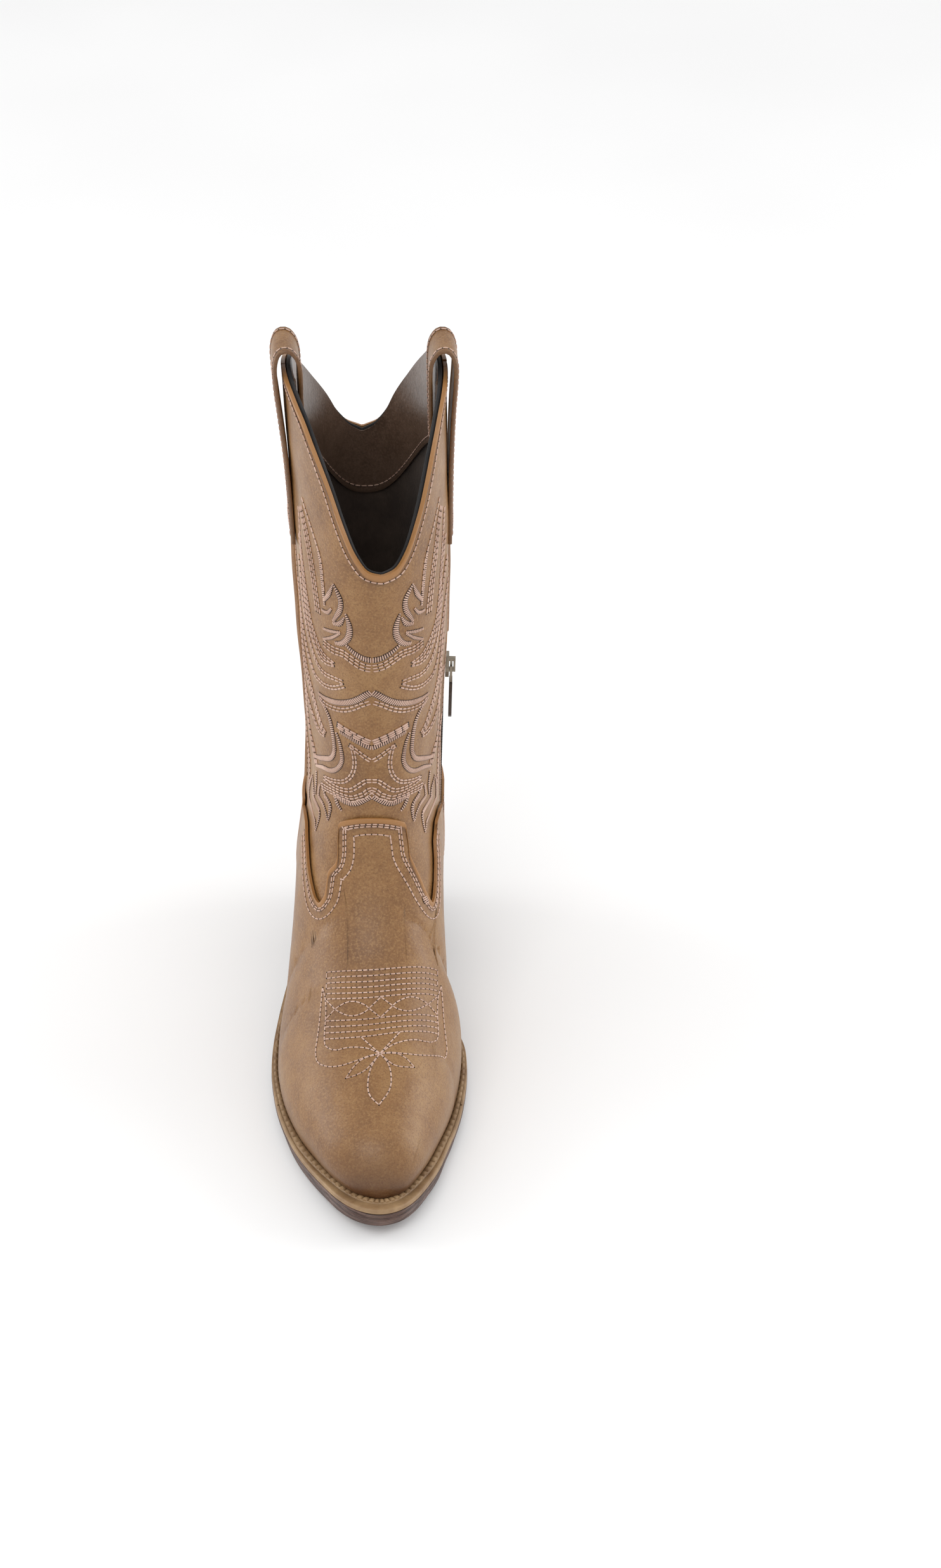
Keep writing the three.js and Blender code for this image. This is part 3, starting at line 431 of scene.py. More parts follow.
def solid_between(name, outer, inner, ring=False, attributes=None, sharp=40):
    """Joins two equal grids of points into one closed solid."""
    rows, columns = outer.shape[:2]
    count = rows * columns
    faces = quads(rows, columns, 0, ring) + quads(rows, columns, count, ring, True)
    at = np.arange(count).reshape(rows, columns)
    rims = [at[0], at[-1][::-1]]
    if not ring:
        rims += [at[:, -1], at[::-1, 0]]
    for rim in rims:
        pairs = list(zip(rim[:-1], rim[1:])) + ([(rim[-1], rim[0])] if ring else [])
        faces += [[int(b), int(a), int(a + count), int(b + count)] for a, b in pairs]
    points = np.concatenate([outer.reshape(-1, 3), inner.reshape(-1, 3)])
    both = {key: np.concatenate([value.ravel()] * 2) for key, value in (attributes or {}).items()}
    return make_mesh(name, points, faces, both, sharp)


def spaced(count, near=(0.0016, 0.004, 0.0075, 0.012, 0.017, 0.021, 0.025, 0.029)):
    """0 to 1 with extra places close to both ends, for turned edges."""
    near = np.array(near)
    return np.unique(np.concatenate([np.linspace(0, 1, count), near, 1 - near]))


FAR_AWAY = 99.0


def edge_distance(p, sides):
    """Millimetres along the grid to the nearest of its edges named in sides (l r b t)."""
    across = np.linalg.norm(np.diff(p, axis=1), axis=2)
    up = np.linalg.norm(np.diff(p, axis=0), axis=2)
    zero_column, zero_row = np.zeros((p.shape[0], 1)), np.zeros((1, p.shape[1]))
    reach = {
        "l": np.hstack([zero_column, np.cumsum(across, 1)]),
        "r": np.hstack([np.cumsum(across[:, ::-1], 1)[:, ::-1], zero_column]),
        "b": np.vstack([zero_row, np.cumsum(up, 0)]),
        "t": np.vstack([np.cumsum(up[::-1], 0)[::-1], zero_row]),
    }
    return np.minimum.reduce([reach[side] for side in sides])


def shell(name, t, v, layer, turned="", lip=0.0, lip_wide=3.0, round_edge=0.5, folded=False):
    """A piece of leather over the surface; edges named in turned are folded and rounded."""
    outer, inner = layer
    away = edge_distance(skin(t, v, outer), turned) if turned else np.full(t.shape, FAR_AWAY)
    raised = lip * (1 - smooth(away, lip_wide * 0.86, lip_wide * 1.04))
    groove = 0.22 * np.exp(-(((away - lip_wide * 1.1) / 0.5) ** 2)) if lip else 0.0
    drop = round_edge - np.sqrt(np.maximum(round_edge**2 - np.maximum(
        round_edge - away, 0) ** 2, 0))
    top = skin(t, v, outer + raised - groove - drop, folded)
    attributes = {"wear": wear(t, v, away, lip, lip_wide), "fold": raised / max(lip, 1e-6)}
    return solid_between(name, top, skin(t, v, inner, folded), False, attributes)


def wear(t, v, away, lip, lip_wide):
    """How dark the leather is burnished: beside folded edges, low on the foot and at the toe."""
    base = surface(t, v)
    low = np.exp(-np.maximum(base[..., 2] - feather_height(base[..., 1]), 0) / 7.0)
    on_foot = np.where(t < HEEL_RIB, low, 0)
    beside = np.exp(-((np.maximum(away - lip_wide, 0) / 3.0) ** 2)) * (away > lip_wide * 0.95)
    near = beside * 0.8 if lip else np.exp(-away / 4.0) * 0.5
    toe = 0.5 * np.exp(-(((t - 1.2) / 1.5) ** 2)) * (away > 20)
    return np.clip(near + on_foot * 0.75 + toe, 0, 1)


# ------------------------------------------------------------------ materials
def rgb(r, g, b):
    """sRGB 0-255 to a linear colour."""
    return tuple(((c / 255) ** 2.2) for c in (r, g, b)) + (1.0,)


class Nodes:
    """Small helper for node trees."""

    def __init__(self, name):
        self.material = bpy.data.materials.new(name)
        self.material.use_nodes = True
        self.tree = self.material.node_tree
        self.tree.nodes.clear()
        self.shader = self.add("ShaderNodeBsdfPrincipled")
        output = self.add("ShaderNodeOutputMaterial")
        self.link(self.shader.outputs[0], output.inputs[0])
        self.place = self.add("ShaderNodeTexCoord").outputs["Object"]

    def add(self, kind, **values):
        node = self.tree.nodes.new(kind)
        for key, value in values.items():
            if hasattr(node, key):
                setattr(node, key, value)
            else:
                node.inputs[key].default_value = value
        return node

    def link(self, source, target):
        self.tree.links.new(source, target)

    def noise(self, scale, detail=4.0, roughness=0.6, stretch=None):
        node = self.add("ShaderNodeTexNoise", Scale=scale, Detail=detail, Roughness=roughness)
        self.link(self.stretched(stretch), node.inputs["Vector"])
        return node.outputs["Fac"]

    def stretched(self, stretch):
        if stretch is None:
            return self.place
        mapping = self.add("ShaderNodeMapping", Scale=stretch)
        self.link(self.place, mapping.inputs["Vector"])
        return mapping.outputs[0]

    def cells(self, scale, feature="F1"):
        node = self.add("ShaderNodeTexVoronoi", feature=feature, Scale=scale)
        self.link(self.place, node.inputs["Vector"])
        return node.outputs["Distance"]

    def fill(self, sockets, values):
        """Links each value to its socket, or sets it there when it is a plain value."""
        for socket, value in zip(sockets, values):
            if hasattr(value, "is_linked"):
                self.link(value, socket)
            elif value is not None:
                socket.default_value = value

    def math(self, operation, a, b):
        node = self.add("ShaderNodeMath", operation=operation)
        self.fill(node.inputs, (a, b))
        return node.outputs[0]

    def ramp(self, value, *stops):
        """Colour ramp; each stop is (position, colour)."""
        node = self.add("ShaderNodeValToRGB")
        elements = node.color_ramp.elements
        while len(elements) < len(stops):
            elements.new(0.5)
        for element, (position, colour) in zip(elements, stops):
            element.position, element.color = position, colour
        self.link(value, node.inputs["Fac"])
        return node.outputs["Color"]

    def mix(self, factor, a, b):
        node = self.add("ShaderNodeMix", data_type="RGBA")
        self.fill((node.inputs[0], node.inputs[6], node.inputs[7]), (factor, a, b))
        return node.outputs[2]

    def attribute(self, name):
        return self.add("ShaderNodeAttribute", attribute_name=name).outputs["Fac"]

    def range(self, value, low, high):
        node = self.add("ShaderNodeMapRange", **{"To Min": low, "To Max": high})
        self.link(value, node.inputs["Value"])
        return node.outputs[0]

    def bump(self, height, distance, strength=1.0, under=None):
        node = self.add("ShaderNodeBump", Strength=strength, Distance=distance)
        self.link(height, node.inputs["Height"])
        if under is not None:
            self.link(under, node.inputs["Normal"])
        return node.outputs[0]

    def finish(self, colour, roughness, normal=None, **fixed):
        sockets = [self.shader.inputs[key] for key in ("Base Color", "Roughness", "Normal")]
        self.fill(sockets, (colour, roughness, normal))
        for key, value in fixed.items():
            self.shader.inputs[key.replace("_", " ").title()].default_value = value
        return self.material


def leather(name, light, tone, dark, edge, fold, rough=0.4, coat=0.2, grain=1.0):
    """Worn, burnished leather with a fine grain. The wear attribute darkens it, and the fold
    attribute gives the turned edges their own colour."""
    n = Nodes(name)
    patches = n.noise(16, 5, 0.62)
    mottle = n.noise(85, 6, 0.65)
    specks = n.noise(520, 4, 0.7)
    both = n.math("ADD", n.math("MULTIPLY", patches, 0.6), n.math("MULTIPLY", mottle, 0.4))
    colour = n.ramp(both, (0.36, dark), (0.5, tone), (0.64, light))
    colour = n.mix(n.range(specks, -0.1, 0.4), colour, tone)
    flecks = n.ramp(n.noise(880, 2, 0.5), (0.47, (0, 0, 0, 1)), (0.66, (0.55, 0.55, 0.55, 1)))
    colour = n.mix(flecks, colour, light)
    pores = n.ramp(n.noise(1250, 2, 0.5), (0.36, (0.5, 0.5, 0.5, 1)), (0.5, (0, 0, 0, 1)))
    colour = n.mix(pores, colour, dark)
    scuffs = n.ramp(n.noise(60, 8, 0.75, (1, 0.35, 1)), (0.6, (0, 0, 0, 1)), (0.72, (1, 1, 1, 1)))
    colour = n.mix(n.math("MULTIPLY", scuffs, 0.22), colour, light)
    worn = n.math("MULTIPLY", n.attribute("wear"), n.range(mottle, 0.4, 1.3))
    colour = n.mix(worn, colour, edge)
    colour = n.mix(n.math("MULTIPLY", n.attribute("fold"), 0.8), colour, fold)
    pebbles = n.math("SUBTRACT", 1.0, n.cells(760, "SMOOTH_F1"))
    creases = n.noise(240, 5, 0.6)
    low = n.bump(creases, 0.00035 * grain, 0.55)
    normal = n.bump(pebbles, 0.00016 * grain, 0.5, low)
    roughness = n.range(n.noise(130, 5, 0.6), rough - 0.1, rough + 0.14)
    return n.finish(colour, roughness, normal, coat_weight=coat, coat_roughness=0.28)


def cloth(name, colour, other, threads=900, rough=0.85):
    n = Nodes(name)
    weave = n.noise(threads, 2, 0.5, (1, 1, 0.35))
    shade = n.ramp(n.noise(55, 5, 0.6), (0.35, other), (0.65, colour))
    shade = n.mix(n.range(weave, 0, 0.35), shade, other)
    return n.finish(shade, rough, n.bump(weave, 0.0003, 0.6), sheen_weight=0.1)


def moulded(name, light, dark, rough=0.5, layers=None, coat=0.05):
    n = Nodes(name)
    blotch = n.noise(70, 6, 0.65)
    colour = n.ramp(blotch, (0.34, dark), (0.66, light))
    normal = n.bump(n.noise(900, 4, 0.6), 0.00012, 0.5)
    if layers:
        streaks = n.noise(120, 6, 0.6, (0.25, 0.25, 7))
        colour = n.mix(n.ramp(streaks, (0.42, (0, 0, 0, 1)), (0.58, (0.8, 0.8, 0.8, 1))),
                       colour, layers)
        normal = n.bump(streaks, 0.0006, 0.6, normal)
    roughness = n.range(n.noise(160, 4, 0.6), rough - 0.1, rough + 0.12)
    return n.finish(colour, roughness, normal, coat_weight=coat, coat_roughness=0.3)


def metal(name, colour, rough=0.3):
    n = Nodes(name)
    tint = n.ramp(n.noise(300, 5, 0.6), (0.35, tuple(c * 0.7 for c in colour[:3]) + (1,)),
                  (0.6, colour))
    roughness = n.range(n.noise(700, 4, 0.7), rough - 0.08, rough + 0.15)
    return n.finish(tint, roughness, n.bump(n.noise(1200, 3, 0.6), 0.00006, 0.5), metallic=1.0)


TAN = leather("tan_leather", rgb(154, 118, 76), rgb(134, 96, 57), rgb(106, 71, 40),
              rgb(70, 42, 26), rgb(156, 110, 64), 0.42, 0.04)
FOLD = leather("edge_leather", rgb(140, 102, 64), rgb(124, 86, 51), rgb(100, 66, 39),
               rgb(82, 51, 31), rgb(134, 92, 54), 0.48, 0.02, 0.7)
FACING_LEATHER = leather("facing_leather", rgb(124, 102, 88), rgb(104, 83, 69), rgb(80, 63, 51),
                         rgb(60, 46, 37), rgb(94, 74, 60), 0.36, 0.3)
TAB_LEATHER = leather("tab_leather", rgb(84, 68, 56), rgb(66, 52, 42), rgb(48, 37, 30),
                      rgb(36, 28, 22), rgb(60, 46, 36), 0.45, 0.1)
LINING_CLOTH = cloth("lining", rgb(92, 78, 68), rgb(66, 55, 48))
TAPE_CLOTH = cloth("tape", rgb(58, 50, 44), rgb(34, 29, 26), 1400)
BINDING_CLOTH = cloth("binding", rgb(52, 50, 50), rgb(28, 27, 28), 1300)
THREAD = cloth("thread", rgb(214, 182, 164), rgb(178, 144, 126), 2600, 0.5)
# The dark brown of the needle holes and of the strips under satin stitches is painted shade.
STITCH_SHADE = cloth("stitch_shade", rgb(58, 38, 27), rgb(40, 26, 18), 1200)
SOLE_RUBBER = moulded("sole", rgb(118, 94, 84), rgb(84, 63, 56), 0.42, rgb(56, 40, 35))
WELT_RUBBER = moulded("welt", rgb(160, 131, 96), rgb(120, 91, 62), 0.5)
TOP_PIECE = moulded("top_piece", rgb(44, 40, 38), rgb(26, 23, 22), 0.7)
ZIP_PLASTIC = moulded("zip_plastic", rgb(60, 52, 47), rgb(38, 33, 30), 0.4)
ZIP_METAL = metal("zip_metal", rgb(148, 138, 124), 0.32)
STEEL = metal("steel", rgb(170, 172, 174), 0.35)
CORK = cloth("cork", rgb(176, 140, 98), rgb(120, 88, 56), 500)
BOARD = cloth("board", rgb(196, 176, 146), rgb(170, 148, 118), 700)
STIFFENER = cloth("stiffener", rgb(222, 216, 204), rgb(200, 192, 178), 900)


def dress(obj, material, slot, *replaced, body="boot"):
    """Gives a new piece its finish and its body, and hides the CAD nodes that it stands for."""
    obj.data.materials.clear()
    for one in material if isinstance(material, tuple) else (material,):
        obj.data.materials.append(one)
    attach(obj, body)
    if replaced:
        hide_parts(*replaced)
    return obj


def repaint(node, material, bevel=0.0):
    """A CAD node that keeps its shape gets a better material and softened edges."""
    obj = nodes[node]
    obj.data.materials.clear()
    obj.data.materials.append(material)
    if bevel:
        soften = obj.modifiers.new("soft_edges", "BEVEL")
        soften.width, soften.segments = bevel * MM, 3
        soften.limit_method, soften.angle_limit = "ANGLE", math.radians(35)


# ------------------------------------------------------------------ upper
def make_vamp():
    v = np.unique(np.concatenate([np.linspace(-1, 1, 121), np.linspace(-0.5, 0.5, 141)]))
    u = np.unique(np.concatenate([np.linspace(0, 1, 90), [0.005, 0.996, 0.9985, 0.9995]]))
    v, u = np.meshgrid(v, u)
    end = vamp_end(v[0])
    return shell("vamp_leather", end * u, v, FOXING, "t", lip=0.45, **FOXING_FOLD)


def counter_height(far):
    """Height of the counter cover's upper edge, from 0 at the back to 1 at a side."""
    return COUNTER_EDGE["side"] - COUNTER_EDGE["dip"] * np.sin(far * np.pi / 2)


def heel_cup():
    edges = {}
    for side in (-1, 1):
        foot_y = (FOXING_SEAM_Y if side < 0 else ZIP["y"]) + SEAM_HALF_GAP
        foot = float(solve(lambda t: surface(t, side)[..., 1] - foot_y, 9, HEEL_RIB, ()))
        last = float(solve(lambda t: surface(t, cup_seam(t, side))[..., 2] - counter_height(1),
                           HEEL_RIB, 20, ()))
        edges[side] = foot, last
    along, up = np.meshgrid(spaced(81), spaced(40))
    along = 2 * along - 1
    t, v = np.zeros(along.shape), np.zeros(along.shape)
    for side in (-1, 1):
        foot, last = edges[side]
        far = np.abs(along)
        full = 1 - abs(float(cup_seam(last, side)))
        top_round = 1 - far * full
        at_seam = 1 - np.abs(cup_seam(lerp(foot, last, up), side))
        top = rib_at_z(side * top_round, counter_height(far))
        here = along < 0 if side < 0 else along >= 0
        t = np.where(here, lerp(lerp(HEEL_RIB, foot, far), top, up), t)
        v = np.where(here, side * (1 - at_seam * (1 - top_round) / full), v)
    return shell("counter_leather", t, v, FOXING, "lrt", lip=0.4, **FOXING_FOLD)


def cup_seam(t, side):
    return round_at_y(t, FOXING_SEAM_Y + SEAM_HALF_GAP, -1) if side < 0 else zip_round(t, 1)


def side_round(t, beyond):
    return round_at_y(t, SHAFT_SEAM_Y + beyond, -1)


def front_edges():
    left = lambda t: np.maximum(-0.5, side_round(t, -SEAM_HALF_GAP))
    right = lambda t: np.minimum(0.5, zip_round(t, -1))
    return left, right


def back_edges():
    return (lambda t: zip_round(t, 1)), (lambda t: 2 + side_round(t, SEAM_HALF_GAP))


def shaft_grid(edges, lowest, below, columns=90, rows=130):
    """Ribs and ways round of a shaft piece, from its lower edge to the collar line."""
    left, right = edges
    across, up = np.meshgrid(spaced(columns), spaced(rows) ** 1.5)
    way = across[0]
    top = np.full(way.shape, 24.0)
    for _ in range(8):
        top = collar_rib(lerp(left(top), right(top), way), below)
    t = lerp(lowest(way), top, up)
    return t, lerp(left(t), right(t), across)


def lining_split(v):
    return 9.4 + 5 * smooth(np.abs(v), 0.3, 0.5)


def back_lowest(middle, drop):
    return lambda way: middle - drop * np.abs(2 * way - 1) ** 1.5


def make_shaft():
    t, v = shaft_grid(front_edges(), lambda w: 9.2 + smooth(np.abs(2 * w - 1), 0.7, 1), 0)
    front = shell("shaft_front_leather", t, v, SHAFT, "lrt", folded=True, **SHAFT_FOLD)
    dress(front, TAN, "tan_leather", "shaft_front")
    t, v = shaft_grid(back_edges(), back_lowest(17.4, 2.2), 0)
    back = shell("shaft_back_leather", t, v, SHAFT, "lrt", folded=True, **SHAFT_FOLD)
    dress(back, TAN, "tan_leather", "shaft_back")
    t, v = shaft_grid(front_edges(), lambda w: lining_split(w - 0.5) + 0.2, 1.2, 40, 60)
    dress(shell("lining_front_cloth", t, v, LINING), LINING_CLOTH, "lining",
          "shaft_lining_front")
    t, v = shaft_grid(back_edges(), back_lowest(18, 2.8), 1.6, 40, 60)
    seam = 0.6 * np.exp(-(((v - 1) * 110) / 1.4) ** 2)
    dress(shell("lining_back_cloth", t, v, (LINING[0], LINING[1] - seam)), LINING_CLOTH,
          "lining", "shaft_lining_back")


def facing_low(across):
    """Height of the facing's lower edge: lowest at the back, climbing to both sides."""
    aside = np.abs(2 * across - 1) / FACING_EDGE["reach"]
    return FACING_EDGE["low"] + FACING_EDGE["rise"] * (1 - np.exp(-(aside ** FACING_EDGE["bend"])))


def make_collar():
    across, up = np.meshgrid(spaced(60), spaced(24))
    v = lerp(*FACING_SPAN, across)
    bottom = rib_at_z(v[0], facing_low(across[0]))
    t = lerp(bottom, collar_rib(v[0], 1.3), up)
    # Seen from inside the boot, so the fold is on the layer's inner face.
    away = edge_distance(skin(t, v, FACING[1]), "lrb")
    seam = 0.5 * np.exp(-(((v - 1) * 110) / 1.1) ** 2)
    inner = FACING[1] - 0.3 * (1 - smooth(away, 1.6, 2.6)) - seam
    worn = np.clip(np.exp(-away / 5) * 0.5, 0, 1)
    facing = solid_between("facing_leather", skin(t, v, FACING[0]), skin(t, v, inner), False,
                           {"wear": worn})
    dress(facing, FACING_LEATHER, "facing_leather", "collar_facing")
    v, up = np.meshgrid(np.linspace(-1, 1, 241)[1:], np.linspace(0, 1, 7))
    t = np.stack([collar_rib(v[0], lerp(5, 0.15, k)) for k in up[:, 0]])
    round_top = 0.45 * smooth(up, 0.75, 1.0)
    binding = solid_between("collar_binding_tape", skin(t, v, BINDING[0] - round_top),
                            skin(t, v, BINDING[1] + round_top), True)
    dress(binding, BINDING_CLOTH, "binding", "collar_binding")


def make_piping(name, side, seam_y, low, high, node):
    across, up = np.meshgrid(np.linspace(0, 1, 9), np.linspace(0, 1, 60))
    z = lerp(low, high, up[:, 0])
    t = np.broadcast_to(rib_on_side(seam_y, z, side)[:, None], up.shape)
    v = round_at_y(t, seam_y + 5 * (across - 0.5), side)
    crown = PIPING[0] - 1.1 * (2 * across - 1) ** 2
    strip = solid_between(name, skin(t, v, crown + 0.3, True), skin(t, v, PIPING[1], True))
    dress(strip, FOLD, "edge_leather", node)


# Middle of a pull strap from its sewn outer end, over the collar, to its inner end:
# distance off the shaft and height.
STRAP_LINE = [
    (1.6, 266), (1.7, 285), (2.2, 310), (3.2, 335), (4.3, 352), (4.4, 361), (2.6, 367.2),
    (-1, 369), (-4.6, 366.8), (-7.1, 360), (-7.3, 345), (-6.9, 322), (-6.5, 302),
]


def strap_frame(side, count=90):
    """Places along the strap: the wall's distance, points of its middle, and its outward way."""
    line = spline(STRAP_LINE, count)
    along = np.gradient(line, axis=0)
    along /= np.linalg.norm(along, axis=1)[:, None]
    return line, np.stack([along[:, 1], -along[:, 0]], 1)


def strap_point(side, y, off, z):
    t = rib_on_side(y, np.minimum(z, STRAP_FREE_ABOVE), side, 20)
    wall = surface(t, round_at_y(t, y, side))[..., 0]
    return np.stack([wall + side * off, y, z], -1)


def make_strap(side, name, node):
    line, out = strap_frame(side)
    across = spaced(21, (0.01, 0.025, 0.05, 0.085))
    y = lerp(STRAP["from"], STRAP["to"], across)
    away = np.minimum(across, 1 - across) * (STRAP["to"] - STRAP["from"])
    half = STRAP["thick"] / 2
    edge = 0.8 - np.sqrt(np.maximum(0.64 - np.maximum(0.8 - away, 0) ** 2, 0))
    raised = 0.25 * (1 - smooth(away, 1.8, 2.6)) - edge
    sides = []
    for face in (1, -1):
        offset = face * (half - 0.15 + raised)
        off = line[:, :1] + out[:, :1] * offset
        z = line[:, 1:] + out[:, 1:] * offset
        yy = np.broadcast_to(y, off.shape[:1] + y.shape)
        sides.append(strap_point(side, yy, off, z))
    worn = np.broadcast_to(np.exp(-away / 2.2) * 0.7, sides[0].shape[:2])
    strap = solid_between(name, *sides, False, {"wear": worn})
    dress(strap, TAN, "tan_leather", node)


# ------------------------------------------------------------------ sole
CAP_STRIPS = 6
STACK_SHARP = 35


def ring_solid(name, rings):
    """A solid of stacked closed rings, each (outer run, inner run) with z; capped at both ends."""
    loops = [np.vstack([outer, inner[::-1][1:-1]]) for outer, inner in rings]
    columns, half = len(loops[0]), len(rings[0][0])
    faces = quads(len(loops), columns, 0, ring=True)
    points = [np.vstack(loops)]
    across = np.linspace(0, 1, CAP_STRIPS + 1)[1:-1]
    for cap, (outer, inner) in enumerate((rings[0], rings[-1])):
        base = 0 if cap == 0 else (len(loops) - 1) * columns
        start = sum(len(p) for p in points)
        rows = [lerp(outer[1:-1], inner[1:-1], k) for k in across]
        points.append(np.stack(rows, 1).reshape(-1, 3))

        def index(i, j):
            if j in (0, CAP_STRIPS):
                return base + (i if j == 0 else (columns - i) % columns)
            return start + (i - 1) * (CAP_STRIPS - 1) + j - 1

        for i in range(1, half - 2):
            for j in range(CAP_STRIPS):
                face = [index(i, j), index(i + 1, j), index(i + 1, j + 1), index(i, j + 1)]
                faces.append(face if cap else face[::-1])
        for end, step in ((0, 1), (half - 1, -1)):
            i = end + step
            fan = [base + end] + [index(i, j) for j in range(CAP_STRIPS + 1)]
            faces.append(fan if (cap == 1) == (step == 1) else fan[::-1])
    return make_mesh(name, np.vstack(points), faces, None, STACK_SHARP)


def rounding(k, most, reach):
    """How far the sides are drawn in near either end of 0 to 1."""
    return most * max(0, 1 - min(k, 1 - k) / reach) ** 2


def even_runs(distance, count):
    """Both sides of the inset outline, each with the same number of evenly spaced points."""
    runs = []
    for run in outline_runs(distance, 1400):
        length = run_length(run)
        runs.append(along_line(np.linspace(0, length[-1], count), length, run))
    return runs


def outsole_top(y):
    return feather_height(y) - 0.25 - WELT["thick"] - GAP


def make_outsole():
    levels = np.concatenate([[0, 0.012, 0.03], np.linspace(0.06, 0.94, 27), [0.97, 0.988, 1]])
    rings = []
    for k in levels:
        layer_line = 0.16 * math.sin(k * 46) + 0.1 * math.sin(k * 97 + 1)
        inset = rounding(k, 0.5, 0.06) + (0.2 + layer_line if 0.05 < k < 0.95 else 0)
        ring = []
        for run in even_runs(lambda y: inset + 0 * y, 260):
            x = run[:, 0] * lerp(1, SOLE_TAPER[0], k)
            y = run[:, 1] * lerp(1, SOLE_TAPER[1], k)
            z = lerp(outsole_top(run[:, 1]), underside(run[:, 1] * SOLE_TAPER[1]), k)
            ring.append(np.stack([x, y, z], 1))
        rings.append(ring)
    dress(ring_solid("outsole_rubber", rings), SOLE_RUBBER, "sole", "outsole")


def welt_profile(y, along):
    """Distance in from the outline and height over the welt's top, for each profile point."""
    seen = margin(y) - 2.2
    pad = np.clip(np.abs(np.sin(along * np.pi / WELT_STITCH)) * 1.6 - 0.35, 0, 1) ** 0.7
    lip = np.full_like(y, WELT["lip"])
    rows = [(lip + 0.2, -WELT["thick"]), (lip - 0.1, -WELT["thick"] + 0.25), (lip - 0.1, -0.6),
            (lip + 0.1, -0.2), (lip + 0.5, 0.05), (lip + 1.1, 0.1)]
    wide = np.minimum(3.4, seen * 0.62)
    rows += [(seen - wide - 0.7, 0.05), (seen - wide - 0.2, -0.35), (seen - wide + 0.2, -0.1)]
    for k in (0.12, 0.3, 0.5, 0.7, 0.88):
        rows.append((seen - wide * (1 - k), 0.1 + 1.05 * pad * math.sin(k * math.pi) ** 0.6))
    rows += [(seen + 0.15, -0.1), (np.minimum(WELT["inner"], margin(y) + 7), 0),
             (np.minimum(WELT["inner"], margin(y) + 7), -WELT["thick"])]
    return [(np.broadcast_to(d, y.shape), np.broadcast_to(h, y.shape)) for d, h in rows]


def make_welt():
    count = 1500
    base = inset_outline(count, no_inset)
    along = run_length(base)
    along *= WELT_STITCH * round(along[-1] / WELT_STITCH) / along[-1]
    loops = []
    for distance, height in welt_profile(base[:, 1], along):
        xy = inset_outline(count, lambda y, d=distance: d)
        z = feather_height(xy[:, 1]) - 0.25 + height
        loops.append(np.column_stack([xy, z]))
    points = np.vstack(loops)
    rows = len(loops)
    faces = quads(rows, count, 0, ring=True)
    last = (rows - 1) * count
    faces += [[last + c, last + (c + 1) % count, (c + 1) % count, c] for c in range(count)]
    dress(make_mesh("welt_stitched", points, faces, None, 45), WELT_RUBBER, "welt", "welt")


def make_heel():
    """Four lifts and a top piece, each with a rounded edge and fine lines round it."""
    thick = 1 / HEEL["lifts"]
    for i in range(HEEL["lifts"]):
        last = i == HEEL["lifts"] - 1
        heel_layer(f"heel_lift_{i + 1}_stack", i * thick, (i + 1) * thick - (0 if last else 0.012),
                   SOLE_RUBBER, "sole", f"heel_lift_{i + 1}")
    heel_layer("heel_top_piece_rubber", 1, 1.02, TOP_PIECE, "top_piece", "heel_top_piece")


def heel_layer(name, low, high, material, slot, node):
    runs = [run[run[:, 1] > HEEL["breast"]] for run in even_runs(no_inset, 700)]
    share = np.linspace(0, 1, 90)
    rings = []
    for k in np.concatenate([[0, 0.03, 0.09], np.linspace(0.18, 0.82, 7), [0.91, 0.97, 1]]):
        depth = lerp(low, high, k)
        inset = rounding(k, 0.35, 0.1) + 0.1 * math.sin(k * 26)
        ring = []
        for run in runs:
            length = run_length(run)
            x0, y0 = along_line(share * length[-1], length, run).T
            x = x0 * lerp(HEEL["top"], HEEL["floor"], min(depth, 1))
            back = (y0 - HEEL["breast"]) * lerp(0.98, HEEL["floor"], min(depth, 1))
            y = HEEL["breast"] + HEEL["lean"] * depth + back
            middle = HEEL["breast"] + 30
            pull = 1 - inset / 33
            x, y = x * pull, middle + (y - middle) * pull
            if depth > 1 or low == 1:
                z = np.full(x.shape, HEEL["top_piece"] * (1 - k))
            else:
                z = lerp(underside(y) - GAP, HEEL["top_piece"] + GAP, depth)
            ring.append(np.stack([x, y, z], 1))
        rings.append(ring)
    dress(half_ring_solid(name, rings), material, slot, node)


def half_ring_solid(name, rings):
    """Like ring_solid, but flat across the front, where the two runs don't meet."""
    loops = [np.vstack([outer, inner[::-1][1:]]) for outer, inner in rings]
    columns, half = len(loops[0]), len(rings[0][0])
    faces = quads(len(loops), columns, 0, ring=True)
    for cap, base in enumerate((0, (len(loops) - 1) * columns)):
        for i in range(half - 1):
            other = columns - 1 - i
            face = [base + i, base + i + 1, base + other - 1, base + other]
            face = list(dict.fromkeys(face))
            if len(face) > 2:
                faces.append(face if cap else face[::-1])
    return make_mesh(name, np.vstack(loops), faces, None, STACK_SHARP)


# ------------------------------------------------------------------ stitches
SIDES = 6
RINGS = ((-1.0, 0.25), (-0.86, 0.75), (-0.45, 1.0), (0.45, 1.0), (0.86, 0.75), (1.0, 0.25))


